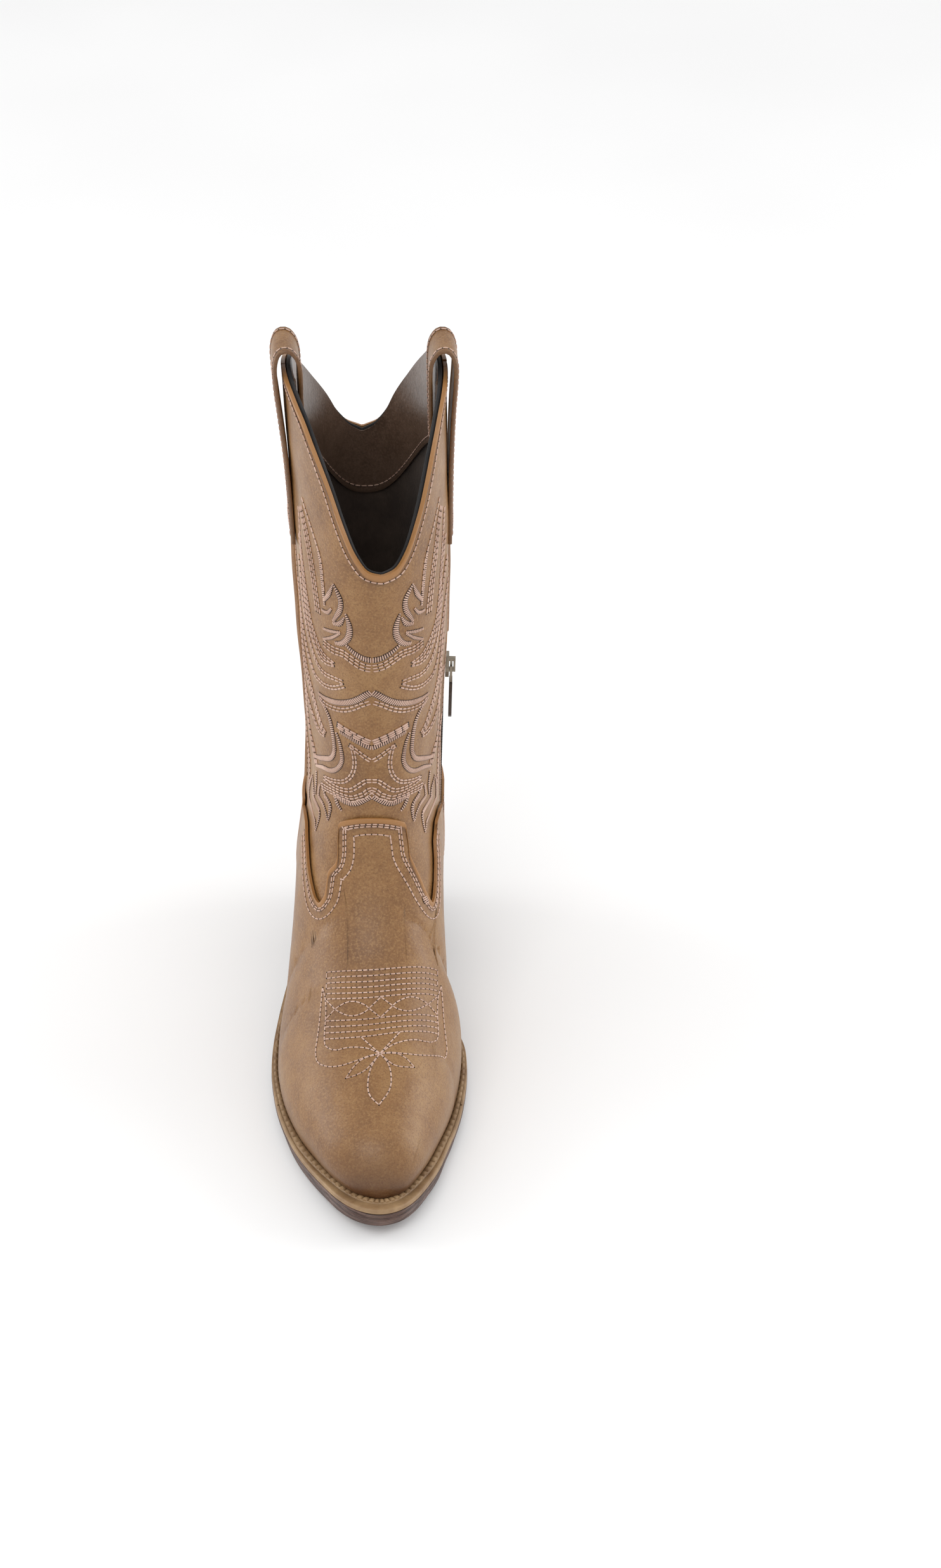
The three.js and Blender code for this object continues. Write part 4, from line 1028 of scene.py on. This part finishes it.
class Stitches:
    """Collects stitches, and makes one mesh of them: threads lying in the leather, with painted
    shade at their needle holes and under the satin threads.
    """

    def __init__(self):
        self.threads, self.holes, self.shadow_strips = [], [], []

    def lay(self, centre, along, normal, length, width, high=None):
        self.threads.append((centre, along, normal, np.broadcast_to(length, len(centre)),
                             np.broadcast_to(width, len(centre)),
                             np.broadcast_to(high or width * 0.42, len(centre))))

    def row(self, line, normal, pitch=3.0, gap=0.7, width=0.8, first=0):
        """A running row along a line of points: thread, with needle holes from the first on, each a
        dark disc of painted shade.
        """
        total = run_length(line)
        count = max(1, int(round(total[-1] / pitch)))
        pitch = total[-1] / count
        start = np.arange(count) * pitch + gap / 2
        a, b = along_line(start, total, line), along_line(start + pitch - gap, total, line)
        n = unit(along_line(start + (pitch - gap) / 2, total, normal))
        self.lay((a + b) / 2, unit(b - a), n, pitch - gap * 0.6, width)
        ends = np.arange(first, count + 1) * pitch
        self.holes.append((along_line(ends, total, line),
                           unit(along_line(ends, total, normal)), width * 0.62))

    def satin(self, line, normal, width, pitch=1.12, slant=0.25, thread=0.74):
        """Close stitches across a line over a dark strip of painted shadow; width is one length, or
        several along the line.
        """
        total = run_length(line)
        count = max(2, int(total[-1] / pitch))
        s = (np.arange(count) + 0.5) * total[-1] / count
        centre, n = along_line(s, total, line), unit(along_line(s, total, normal))
        along = unit(along_line(s, total, np.gradient(line, axis=0)))
        across = unit(np.cross(n, along) + slant * along)
        share = s / total[-1]
        if np.ndim(width) == 0:
            length = width * (0.35 + 0.65 * np.clip(np.minimum(share, 1 - share) * 6, 0, 1))
        else:
            length = np.interp(share, np.linspace(0, 1, len(width)), width)
        self.lay(centre + n * 0.1, across, n, length, thread, thread * 0.55)
        # A dark strip under the threads: painted shadow between and beneath them.
        reach = across * (length / 2 + 0.15)[:, None]
        self.shadow_strips.append([centre - reach + n * 0.12, centre + reach + n * 0.12,
                          centre + reach - n * 0.3, centre - reach - n * 0.3])

    def mesh(self, name, slot="tan_leather"):
        points, faces, kinds = [], [], []

        def add(block, pattern, kind):
            """One copy of the pattern of faces for every row of the block of points."""
            start, (count, per) = sum(len(p) for p in points), block.shape[:2]
            points.append(block.reshape(-1, 3))
            for i in range(count):
                faces.extend([[v + start + i * per for v in face] for face in pattern])
            kinds.extend([kind] * (count * len(pattern)))

        turn = np.arange(SIDES) / SIDES * 2 * np.pi
        tube = quads(len(RINGS), SIDES, 0, ring=True)
        tube += [list(range(SIDES))[::-1], list(range(SIDES * (len(RINGS) - 1), SIDES * len(RINGS)))]
        for centre, along, normal, length, width, high in self.threads:
            side = np.cross(normal, along)
            rings = []
            for x, size in RINGS:
                rise = 0.35 - 0.35 * abs(x) ** 6
                rings += [centre + along * (length * x / 2)[:, None]
                          + side * (width / 2 * size * math.cos(angle))[:, None]
                          + normal * (high * (size * math.sin(angle) + rise))[:, None]
                          for angle in turn]
            add(np.stack(rings, 1), tube, 0)
        cone = [[j, (j + 1) % SIDES, SIDES] for j in range(SIDES)]
        cone += [[(j + 1) % SIDES, j, SIDES + 1] for j in range(SIDES)]
        # Dark discs sunk at the needle holes: painted shade.
        for centre, normal, radius in self.holes:
            side = unit(np.cross(normal, [0.31, 0.52, 0.79]))
            other = np.cross(normal, side)
            disc = [centre + side * (radius * math.cos(a)) + other * (radius * math.sin(a))
                    + normal * 0.05 for a in turn]
            add(np.stack([*disc, centre + normal * 0.12, centre - normal * 0.3], 1), cone, 1)
        # Dark strips under the satin threads: painted shadow.
        for corners in self.shadow_strips:
            count = len(corners[0])
            strip = quads(count, 4, 0, ring=True)
            strip += [[3, 2, 1, 0], [4 * count - 4 + j for j in range(4)]]
            add(np.stack(corners, 1).reshape(1, -1, 3), strip, 1)
        mesh = bpy.data.meshes.new(name)
        mesh.from_pydata((np.vstack(points) * MM).tolist(), [], faces)
        dress(put(name, mesh), (THREAD, STITCH_SHADE), slot)
        mesh.polygons.foreach_set("material_index", kinds)
        mesh.polygons.foreach_set("use_smooth", [True] * len(mesh.polygons))


def unit(v):
    return v / np.maximum(np.linalg.norm(v, axis=-1, keepdims=True), 1e-9)


def dense(t, v, offset, folded=False):
    """Points and normals along a line given on the surface."""
    return skin(t, v, offset, folded), outward(t, v)


def shifted(t, v, distance):
    """The line moved sideways over the surface by a distance, to the left of its way."""
    step = 1e-3
    t, v = t.copy(), v.copy()
    parts = max(1, int(abs(distance) / 1.5))
    along = unit(np.gradient(surface(t, v), axis=0))
    for _ in range(parts):
        n = outward(t, v)
        sideways = unit(np.cross(n, along)) * (distance / parts)
        dt = (surface(t + step, v) - surface(t - step, v)) / (2 * step)
        dv = (surface(t, v + step) - surface(t, v - step)) / (2 * step)
        tt, tv, vv = (dt * dt).sum(1), (dt * dv).sum(1), (dv * dv).sum(1)
        a, b = (sideways * dt).sum(1), (sideways * dv).sum(1)
        det = tt * vv - tv * tv
        t += (a * vv - b * tv) / det
        v += (b * tt - a * tv) / det
    return t, v


def clear_of(t, v, edge_t, edge_v, least):
    """Keeps the places that are at least a distance from an edge."""
    edge = surface(edge_t, edge_v)
    tree = KDTree(len(edge))
    for i, p in enumerate(edge):
        tree.insert(p, i)
    tree.balance()
    keep = np.array([tree.find(p)[2] >= least for p in surface(t, v)])
    return t[keep], v[keep]


def sew_vamp():
    s = Stitches()
    # Rows inside the upper edge, from the outer side to the inner one.
    v = np.linspace(0.455, -0.445, 700)
    t = vamp_end(v)
    for inset in VAMP_ROWS:
        st, sv = clear_of(*shifted(t, v, inset), t, v, inset - 0.35)
        s.row(*dense(st, sv, FOXING[0] + 0.05), width=0.75)
    # Bar tack at the inner low point.
    low = np.linspace(0.318, 0.352, 12)
    s.satin(*dense(vamp_end(low) - 0.26, low, FOXING[0] + 0.1), 4.0, pitch=0.9)
    s.mesh("vamp_stitches")


def sew_counter():
    s = Stitches()
    v = np.linspace(0.56, 1.44, 300)
    t = rib_at_z(v, counter_height(np.abs(np.linspace(-1, 1, 300))))
    for inset in COUNTER_ROWS:
        st, sv = shifted(t, v, -inset)
        s.row(*dense(st, sv, FOXING[0] + 0.05), width=0.75)
    s.mesh("counter_stitches")


def sew_collar():
    s = Stitches()
    v = np.linspace(-1, 1, 900)
    t = collar_rib(v, 0)
    st, sv = shifted(t, v, -COLLAR_ROW)
    gaps = (np.abs(surface(st, sv)[:, 1] - ZIP["y"]) < 4) & (sv > 0)
    gaps |= (np.abs(surface(st, sv)[:, 1] - SHAFT_SEAM_Y) < 3) & (sv < 0)
    for part in np.split(np.arange(len(sv)), np.nonzero(np.diff(gaps.astype(int)))[0] + 1):
        if len(part) > 20 and not gaps[part[0]]:
            s.row(*dense(st[part], sv[part], SHAFT[0] + 0.1, True), pitch=3.1)
    s.mesh("collar_stitches")


def sew_facing():
    s = Stitches()
    across = np.linspace(0.02, 0.98, 240)
    v = lerp(*FACING_SPAN, across)
    t = rib_at_z(v, facing_low(across) + FACING_ROW)
    p = skin(t, v, FACING[1] - 0.1)
    s.row(p, -outward(t, v), pitch=3.2, width=0.7)
    s.mesh("facing_stitches", "facing_leather")


def sew_zip_edges():
    s = Stitches()
    for side, low, high in ((-1, 66, 203), (1, 60, 203)):
        t = np.interp(np.linspace(low, high, 200), ZIP_Z, ZIP_RIBS)
        v = zip_round(t, side, ZIP_ROW)
        on_foot = surface(t, v)[:, 2] < COUNTER_EDGE["side"] - COUNTER_EDGE["dip"]
        offset = np.where(on_foot, FOXING[0], SHAFT[0]) + 0.1
        for part in (on_foot, ~on_foot):
            line = dense(t[part], v[part], offset[part], not part[0])
            s.row(*line, pitch=2.9, width=0.7)
    for side, seam_y, low, high in ((-1, SHAFT_SEAM_Y, 124, 300), (1, ZIP["y"], 210, 300)):
        z = np.linspace(low, high, 160)
        t = rib_on_side(seam_y, z, side)
        for beyond in (-SEAM_ROW, SEAM_ROW):
            v = round_at_y(t, seam_y + beyond, side)
            s.row(*dense(t, v, SHAFT[0] + 0.1, True), pitch=3.0, width=0.7)
    s.mesh("side_stitches")


def sew_straps():
    s = Stitches()
    line_out = STRAP["thick"] / 2 + 0.12
    for side in (-1, 1):
        line, out = strap_frame(side, 200)
        keep = slice(4, -12)
        flat = line[keep] + out[keep] * line_out
        for y in (STRAP["from"] + STRAP_ROW, STRAP["to"] - STRAP_ROW):
            p = strap_point(side, np.full(len(flat), float(y)), flat[:, 0], flat[:, 1])
            normal = np.stack([side * out[keep][:, 0], 0 * flat[:, 0], out[keep][:, 1]], 1)
            s.row(p, unit(normal), pitch=3.0, width=0.7)
        for row in (6, 9):
            y = np.linspace(STRAP["from"] + STRAP_ROW, STRAP["to"] - STRAP_ROW, 30)
            p = strap_point(side, y, np.full(30, flat[row, 0]), np.full(30, flat[row, 1]))
            s.row(p, np.tile([float(side), 0, 0], (30, 1)), pitch=2.8, width=0.7)
    s.mesh("strap_stitches")


# ------------------------------------------------------------------ toe stitching
TOE_AXIS = 7.1


def on_vamp(points):
    """Places on the vamp for (across, along) in the toe pattern's own axes."""
    a, b = np.array(points, float).T
    x = TOE_AXIS + a
    y = b + 0.012 * a**2 + (0.12 + 0.0025 * (-32 - b)) * a
    t, v = np.full(len(x), 6.0), a / 80
    for _ in range(14):
        p = surface(t, v)
        dt = (surface(t + 1e-3, v) - p) / 1e-3
        dv = (surface(t, v + 1e-3) - p) / 1e-3
        ex, ey = x - p[:, 0], y - p[:, 1]
        det = dt[:, 0] * dv[:, 1] - dt[:, 1] * dv[:, 0]
        t = np.clip(t + (ex * dv[:, 1] - ey * dv[:, 0]) / det, 0.3, 13)
        v = np.clip(v + (ey * dt[:, 0] - ex * dt[:, 1]) / det, -0.9, 0.9)
    return t, v


U_LOOP = [(-27.4, -39.4), (-26, -46), (-25.8, -54), (-26.2, -63.8), (-25.1, -68),
          (-20.7, -70), (-15.7, -69.2), (-10.5, -69.4), (-5.2, -70.8), (0, -74.2)]
U_WIDE = [(-27.5, -39.2), (-28.2, -47.7), (-28.8, -56.3), (-29.6, -64), (-30.2, -69.8),
          (-29, -75), (-24.2, -77.7), (-18, -78), (-11.2, -76.4), (-5.1, -74.6), (0, -74.2)]
ALMOND = [(-21.5, -50), (-17.5, -47.4), (-13.3, -46.4), (-9, -47.6), (-5.6, -50.2),
          (-9, -52.6), (-13.3, -53.5), (-17.5, -52.4), (-21.5, -50)]
SIDE_PETAL = [(0, -74.2), (-7.3, -75.6), (-11.8, -79), (-15.6, -84.6)]
SIDE_PETAL_LOW = [(-15.6, -84.6), (-10.2, -83.4), (-5.7, -81), (0, -74.2)]
MIDDLE_PETAL = [(0, -74.2), (-3.8, -80.3), (-5.3, -87.6), (-4.5, -94.7), (0, -101)]


def sew_toe():
    s = Stitches()

    def row(line):
        s.row(*dense(*on_vamp(line), FOXING[0] + 0.05), pitch=2.75, gap=0.75, width=0.72)

    def both_sides(points, smooth_line=True, count=120):
        for flip in (1, -1):
            line = np.array(points, float) * (flip, 1)
            row(spline(line, count) if smooth_line else line)

    for b in (-32.4, -34.95, -37.5, -40, -42.5, -45, -55.5, -58.4, -61.3, -64.2):
        half = 25.6 if b > -50 else 26
        across = np.linspace(-half, half, 160)
        row(np.stack([across, np.full(160, b)], 1))
    for points in (U_LOOP, U_WIDE, ALMOND, SIDE_PETAL, SIDE_PETAL_LOW, MIDDLE_PETAL):
        both_sides(points)
    for points in ([(0, -45.2), (-5.5, -50.2), (0, -55.4)], [(-9, -64.2), (0, -74.2)],
                   [(-25.8, -45.4), (-21.5, -50), (-25.8, -54.6)]):
        for a, b in zip(points[:-1], points[1:]):
            both_sides(lerp(np.array(a), np.array(b), np.linspace(0, 1, 40)[:, None]), False)
    for b in (-32.4, -37.5):
        both_sides([(-25.6, b), (-25.7, b - 1.2), (-25.7, b - 2.5)], count=20)
    s.mesh("toe_stitches")


# ------------------------------------------------------------------ shaft stitching
# Half patterns as (way round from the front line, height). Rows of running stitch:
# points, number of rows, spacing.
ROWS = [
    ([(0, 228.8), (0.04, 229.6), (0.09, 232.6), (0.13, 234.4), (0.18, 233.6), (0.226, 234.2)],
     3, -1.75),
    ([(0.01, 208.3), (0.052, 206), (0.09, 203), (0.137, 200), (0.187, 198), (0.236, 196.6),
      (0.268, 197)], 2, -1.75),
    ([(0, 173.6), (0.03, 176), (0.06, 178.4), (0.1, 180.6)], 2, -1.6),
    ([(0.1, 180.4), (0.086, 175), (0.08, 169), (0.09, 163), (0.117, 158.6), (0.155, 156.2),
      (0.232, 152.4)], 2, -1.5),
    ([(0, 161.8), (0.025, 161.4), (0.05, 158.6), (0.085, 154.8), (0.127, 153.4),
      (0.185, 152.4), (0.24, 151.6)], 2, -1.6),
    ([(0, 157.2), (0.017, 156), (0.035, 153.6), (0.08, 150.8), (0.12, 150.2), (0.18, 149.4),
      (0.25, 146.6)], 3, -1.45),
    # Wings down each side, their leaf ends turning in towards the front.
    ([(0.335, 303), (0.30, 296), (0.272, 290), (0.247, 284), (0.228, 278), (0.22, 271),
      (0.214, 262)], 1, 0),
    ([(0.34, 298), (0.312, 290), (0.29, 281), (0.27, 270), (0.255, 258), (0.243, 247)],
     3, 2.1),
    ([(0.39, 292), (0.372, 278), (0.35, 262), (0.33, 248), (0.308, 237), (0.28, 230.6),
      (0.25, 226.2), (0.223, 224), (0.172, 223)], 2, -1.8),
    ([(0.40, 276), (0.38, 262), (0.355, 249), (0.335, 238), (0.305, 229), (0.27, 223),
      (0.23, 220.4), (0.172, 222.6)], 2, -1.8),
    ([(0.42, 262), (0.39, 250), (0.362, 238), (0.335, 226), (0.30, 218), (0.27, 214.6),
      (0.234, 213), (0.181, 214.4), (0.13, 215)], 2, -1.7),
    ([(0.43, 248), (0.40, 236), (0.37, 224), (0.34, 214), (0.30, 208), (0.25, 207.4),
      (0.19, 209.8), (0.13, 214.6)], 2, 1.7),
    ([(0.44, 232), (0.41, 220), (0.385, 208), (0.36, 197), (0.33, 188.6), (0.30, 182.4),
      (0.275, 178), (0.247, 175.4)], 3, -1.8),
    ([(0.45, 214), (0.42, 202), (0.395, 191), (0.365, 181.6), (0.33, 175.8), (0.29, 173.4),
      (0.247, 175)], 2, -1.8),
    ([(0.46, 194), (0.435, 182), (0.41, 171), (0.38, 162), (0.345, 156), (0.32, 150)],
     3, -2.0),
    ([(0.445, 166), (0.42, 156), (0.40, 147), (0.385, 138), (0.38, 128)], 2, 2.0),
]
# Satin bands: points and the widths along them.
SATIN = [
    ([(0, 231.8), (0.04, 232.8), (0.08, 235.2), (0.115, 238.4)], (3.0, 2.6, 1.4)),
    ([(0.17, 270), (0.149, 266), (0.135, 262), (0.138, 257), (0.156, 252.4), (0.172, 248.6)],
     (0.8, 2.6, 3.0, 2.8, 1.6)),
    ([(0.17, 269), (0.19, 262.6), (0.217, 257)], (0.8, 2.8, 1.8)),
    ([(0.114, 256.4), (0.102, 252), (0.096, 247.4), (0.105, 242.4), (0.133, 238.2),
      (0.165, 236.6)], (0.8, 2.8, 3.4, 3.0, 1.8)),
    ([(0.118, 254), (0.142, 249), (0.174, 247.2)], (0.8, 2.8, 1.8)),
    ([(0.178, 255.4), (0.2, 251.4), (0.232, 250.4)], (1.4, 2.0, 1.2)),
    ([(0.138, 244.4), (0.183, 242), (0.226, 240.4)], (1.2, 1.8, 1.2)),
    ([(0.14, 243.6), (0.183, 238.4), (0.227, 234.4)], (1.2, 1.8, 1.2)),
    ([(0.243, 283), (0.232, 277), (0.225, 270), (0.219, 262), (0.214, 254)],
     (1.2, 2.0, 2.0, 1.4)),
    ([(0, 213.2), (0.023, 211.8), (0.052, 209.2), (0.09, 206.2), (0.14, 203.2), (0.19, 200.8),
      (0.237, 199.2), (0.276, 198.6)], (3.6, 3.3, 3.1, 2.9, 1.2)),
    ([(0, 180.4), (0.05, 182.6), (0.1, 184.4), (0.155, 185.6)], (2.4, 2.3, 1.6)),
    ([(0.274, 196.4), (0.24, 194), (0.212, 190), (0.196, 184), (0.186, 177), (0.184, 171.6),
      (0.202, 166), (0.25, 161.4), (0.32, 155)], (1.6, 2.6, 2.6, 2.8, 1.8)),
    ([(0.174, 184), (0.157, 180), (0.144, 174.4), (0.139, 168.6), (0.158, 163), (0.195, 158.8),
      (0.25, 155.8), (0.31, 150.6)], (1.4, 2.4, 2.6, 2.4, 1.4)),
    ([(0, 151.8), (0.03, 149.6), (0.074, 147.2), (0.12, 146.6), (0.155, 147.2)],
     (2.4, 3.0, 2.8, 2.0)),
    ([(0.158, 148), (0.17, 143.6), (0.152, 140.6)], (1.6, 2.4, 1.0)),
    ([(0.252, 146.4), (0.226, 143.6), (0.222, 139.6), (0.24, 135.4), (0.262, 130.6)],
     (1.0, 2.4, 2.6, 0.8)),
    ([(0.262, 144.6), (0.27, 138), (0.264, 131)], (1.6, 2.0, 0.8)),
    ([(0.352, 140), (0.32, 136), (0.316, 131), (0.338, 126), (0.372, 119)],
     (1.0, 2.4, 2.4, 0.8)),
    ([(0.358, 138), (0.372, 130), (0.374, 120)], (1.6, 2.0, 0.8)),
    ([(0.306, 148), (0.296, 141), (0.298, 134)], (1.2, 2.2, 1.0)),
]
# The long stitches of the middle chevron.
CHEVRON = [(0, 184.6), (0.05, 186.8), (0.1, 188.6), (0.165, 190)]


def on_shaft(points, side, back, count):
    way, z = spline(points, count).T
    v = side * (1 - way) if back else side * way
    v = np.where(v == 0, 1e-4 * side, v)
    return rib_at_z(v, z, 8.0), v


def sew_shaft(back):
    s = Stitches()
    for side in (-1, 1):
        turn = -side if back else side
        for points, rows, spacing in ROWS:
            t, v = on_shaft(points, side, back, 90)
            for i in range(rows):
                st, sv = shifted(t, v, turn * spacing * i) if i else (t, v)
                s.row(*dense(st, sv, 0.08, True), pitch=2.9, gap=0.6, width=0.85, first=1)
        for points, width in SATIN:
            t, v = on_shaft(points, side, back, 70)
            s.satin(*dense(t, v, 0.05, True), np.array(width), slant=0.2 * turn)
        for i in range(3):
            t, v = on_shaft(CHEVRON, side, back, 60)
            st, sv = shifted(t, v, turn * -1.25 * i) if i else (t, v)
            s.row(*dense(st, sv, 0.1, True), pitch=4.3, gap=0.4, width=1.15, first=1)
    s.mesh("shaft_back_embroidery" if back else "shaft_front_embroidery")


# ------------------------------------------------------------------ zip
def zip_frame():
    """Top of the zip's line, and its out, across and up directions."""
    top, low = (surface(*place(z)) for z in (ZIP["top"], ZIP["bottom"]))
    up = unit(top - low)
    return top, np.array([up[2], 0, -up[0]]), np.array([0, 1.0, 0]), up, np.linalg.norm(top - low)


def place(z):
    t = np.interp(z, ZIP_Z, ZIP_RIBS)
    return t, round_at_y(t, ZIP["y"], 1)


# A tooth's outline as (out, along), and its sections as (across, size).
TOOTH = [(-1.2, -0.5), (0.6, -0.45), (0.6, 0.45), (-1.2, 0.5)]
TOOTH_SECTIONS = ((0.16, 0.75), (0.9, 1.0), (2.2, 1.0), (2.65, 0.7))


def make_teeth(side, name):
    top, out, across, up, length = zip_frame()
    points, faces = [], []
    for i in range(int(length / ZIP_PITCH)):
        z = -ZIP_PITCH * (i + (0.25 if side < 0 else 0.75))
        base = len(points)
        for y, size in TOOTH_SECTIONS:
            for x, dz in TOOTH:
                x = x * size if x > 0 else x
                points.append(top + out * x + across * (side * y) + up * (z + dz * size))
        for ring in range(base, base + 12, 4):
            for j in range(4):
                a, b = ring + j, ring + (j + 1) % 4
                faces.append([a, b, b + 4, a + 4] if side > 0 else [a + 4, b + 4, b, a])
        caps = [base + 3, base + 2, base + 1, base], [base + j for j in (12, 13, 14, 15)]
        faces += [c if side > 0 else c[::-1] for c in caps]
    teeth = make_mesh(f"zip_teeth_{name}_moulded", points, faces, None, 30)
    dress(teeth, ZIP_PLASTIC, "zip_plastic", f"zip_teeth_{name}")


def make_tape(side, name):
    across, up = np.meshgrid(np.linspace(0, 1, 9), np.linspace(0, 1, 80))
    t = lerp(*TAPE_RIBS, up)
    v = round_at_y(t, ZIP["y"] + side * lerp(SEAM_HALF_GAP, ZIP["tape"], across), 1)
    outer, inner = (skin(t, v, offset) for offset in ZIP_TAPE)
    tape = solid_between(f"zip_tape_{name}_woven", outer, inner)
    dress(tape, TAPE_CLOTH, "tape", f"zip_tape_{name}")


# ------------------------------------------------------------------ putting it together
dress(make_vamp(), TAN, "tan_leather", "vamp")
dress(heel_cup(), TAN, "tan_leather", "counter_cover")
make_shaft()
make_collar()
make_piping("side_piping_outer_strip", -1, SHAFT_SEAM_Y, 122, 262, "side_piping_outer")
make_piping("side_piping_inner_strip", 1, ZIP["y"], 207, 262, "side_piping_inner")
make_strap(-1, "pull_strap_outer_leather", "pull_strap_outer")
make_strap(1, "pull_strap_inner_leather", "pull_strap_inner")
make_outsole()
make_welt()
make_heel()
for side, name in ((-1, "front"), (1, "back")):
    make_teeth(side, name)
    make_tape(side, name)
for sew in (sew_vamp, sew_counter, sew_collar, sew_facing, sew_zip_edges, sew_straps, sew_toe):
    sew()
for back in (False, True):
    sew_shaft(back)

for node, material, bevel in (
    ("zip_slider", ZIP_METAL, 0.25), ("zip_pull_link", ZIP_METAL, 0.3),
    ("zip_pull_tab", TAB_LEATHER, 0.4), ("zip_top_stop", ZIP_METAL, 0.3),
    ("zip_bottom_stop", ZIP_METAL, 0.3), ("zip_guard", LINING_CLOTH, 0),
    ("vamp_lining", LINING_CLOTH, 0), ("heel_lining", LINING_CLOTH, 0),
    ("sock_liner", LINING_CLOTH, 0), ("insole_board", BOARD, 0), ("toe_puff", STIFFENER, 0),
    ("heel_counter", STIFFENER, 0), ("shank", STEEL, 0.3), ("forepart_filler", CORK, 0),
    ("heel_seat_filler", CORK, 0),
):
    repaint(node, material, bevel)


# ------------------------------------------------------------------ floor, light and camera
CAMERA = {"at": (0.0508, -1.3128, 1.0886), "down": 35.1, "lens": 76.42}
WORLD_STRENGTH = 0.92
FLOOR_HALF = 14
LIT_PLACE = (0, 0, 0.18)
# Name, place, width and height in metres, power in watts.
LIGHTS = (
    ("key", (-0.5, -1.3, 1.9), (1.1, 0.9), 9),
    ("left_panel", (-1.3, 0.3, 0.5), (0.5, 1.3), 6),
    ("right_panel", (1.3, 0.25, 0.5), (0.5, 1.3), 6.5),
)


def make_floor():
    corners = [(-1, -1), (1, -1), (1, 1), (-1, 1)]
    floor = bpy.data.meshes.new("floor")
    floor.from_pydata([(FLOOR_HALF * x, FLOOR_HALF * y, 0) for x, y in corners],
                      [], [(0, 1, 2, 3)])
    obj = put("floor", floor)
    n = Nodes("floor")
    n.finish(n.ramp(n.noise(3, 2, 0.5), (0.3, (0.9, 0.9, 0.9, 1)), (0.7, (0.94, 0.94, 0.94, 1))),
             0.7)
    obj.data.materials.append(n.material)


def make_light(name, at, size, power):
    light = bpy.data.lights.new(name, "AREA")
    light.shape, light.size, light.size_y, light.energy = "RECTANGLE", size[0], size[1], power
    obj = put(name, light)
    obj.location = at
    way = Vector(LIT_PLACE) - Vector(at)
    obj.rotation_mode = "QUATERNION"
    obj.rotation_quaternion = way.to_track_quat("-Z", "Y")


def make_studio():
    make_floor()
    world = bpy.data.worlds.new("studio")
    world.use_nodes = True
    sky = world.node_tree.nodes["Background"].inputs
    sky["Color"].default_value = (1, 1, 1, 1)
    sky["Strength"].default_value = WORLD_STRENGTH
    bpy.context.scene.world = world
    for light in LIGHTS:
        make_light(*light)
    bpy.context.scene.view_settings.view_transform = "Standard"


def make_camera():
    data = bpy.data.cameras.new("camera")
    data.lens, data.sensor_width, data.clip_start = CAMERA["lens"], 36, 0.05
    camera = put("camera", data)
    camera.location = CAMERA["at"]
    camera.rotation_euler = (math.radians(90 - CAMERA["down"]), 0, 0)
    bpy.context.scene.camera = camera


make_studio()
make_camera()
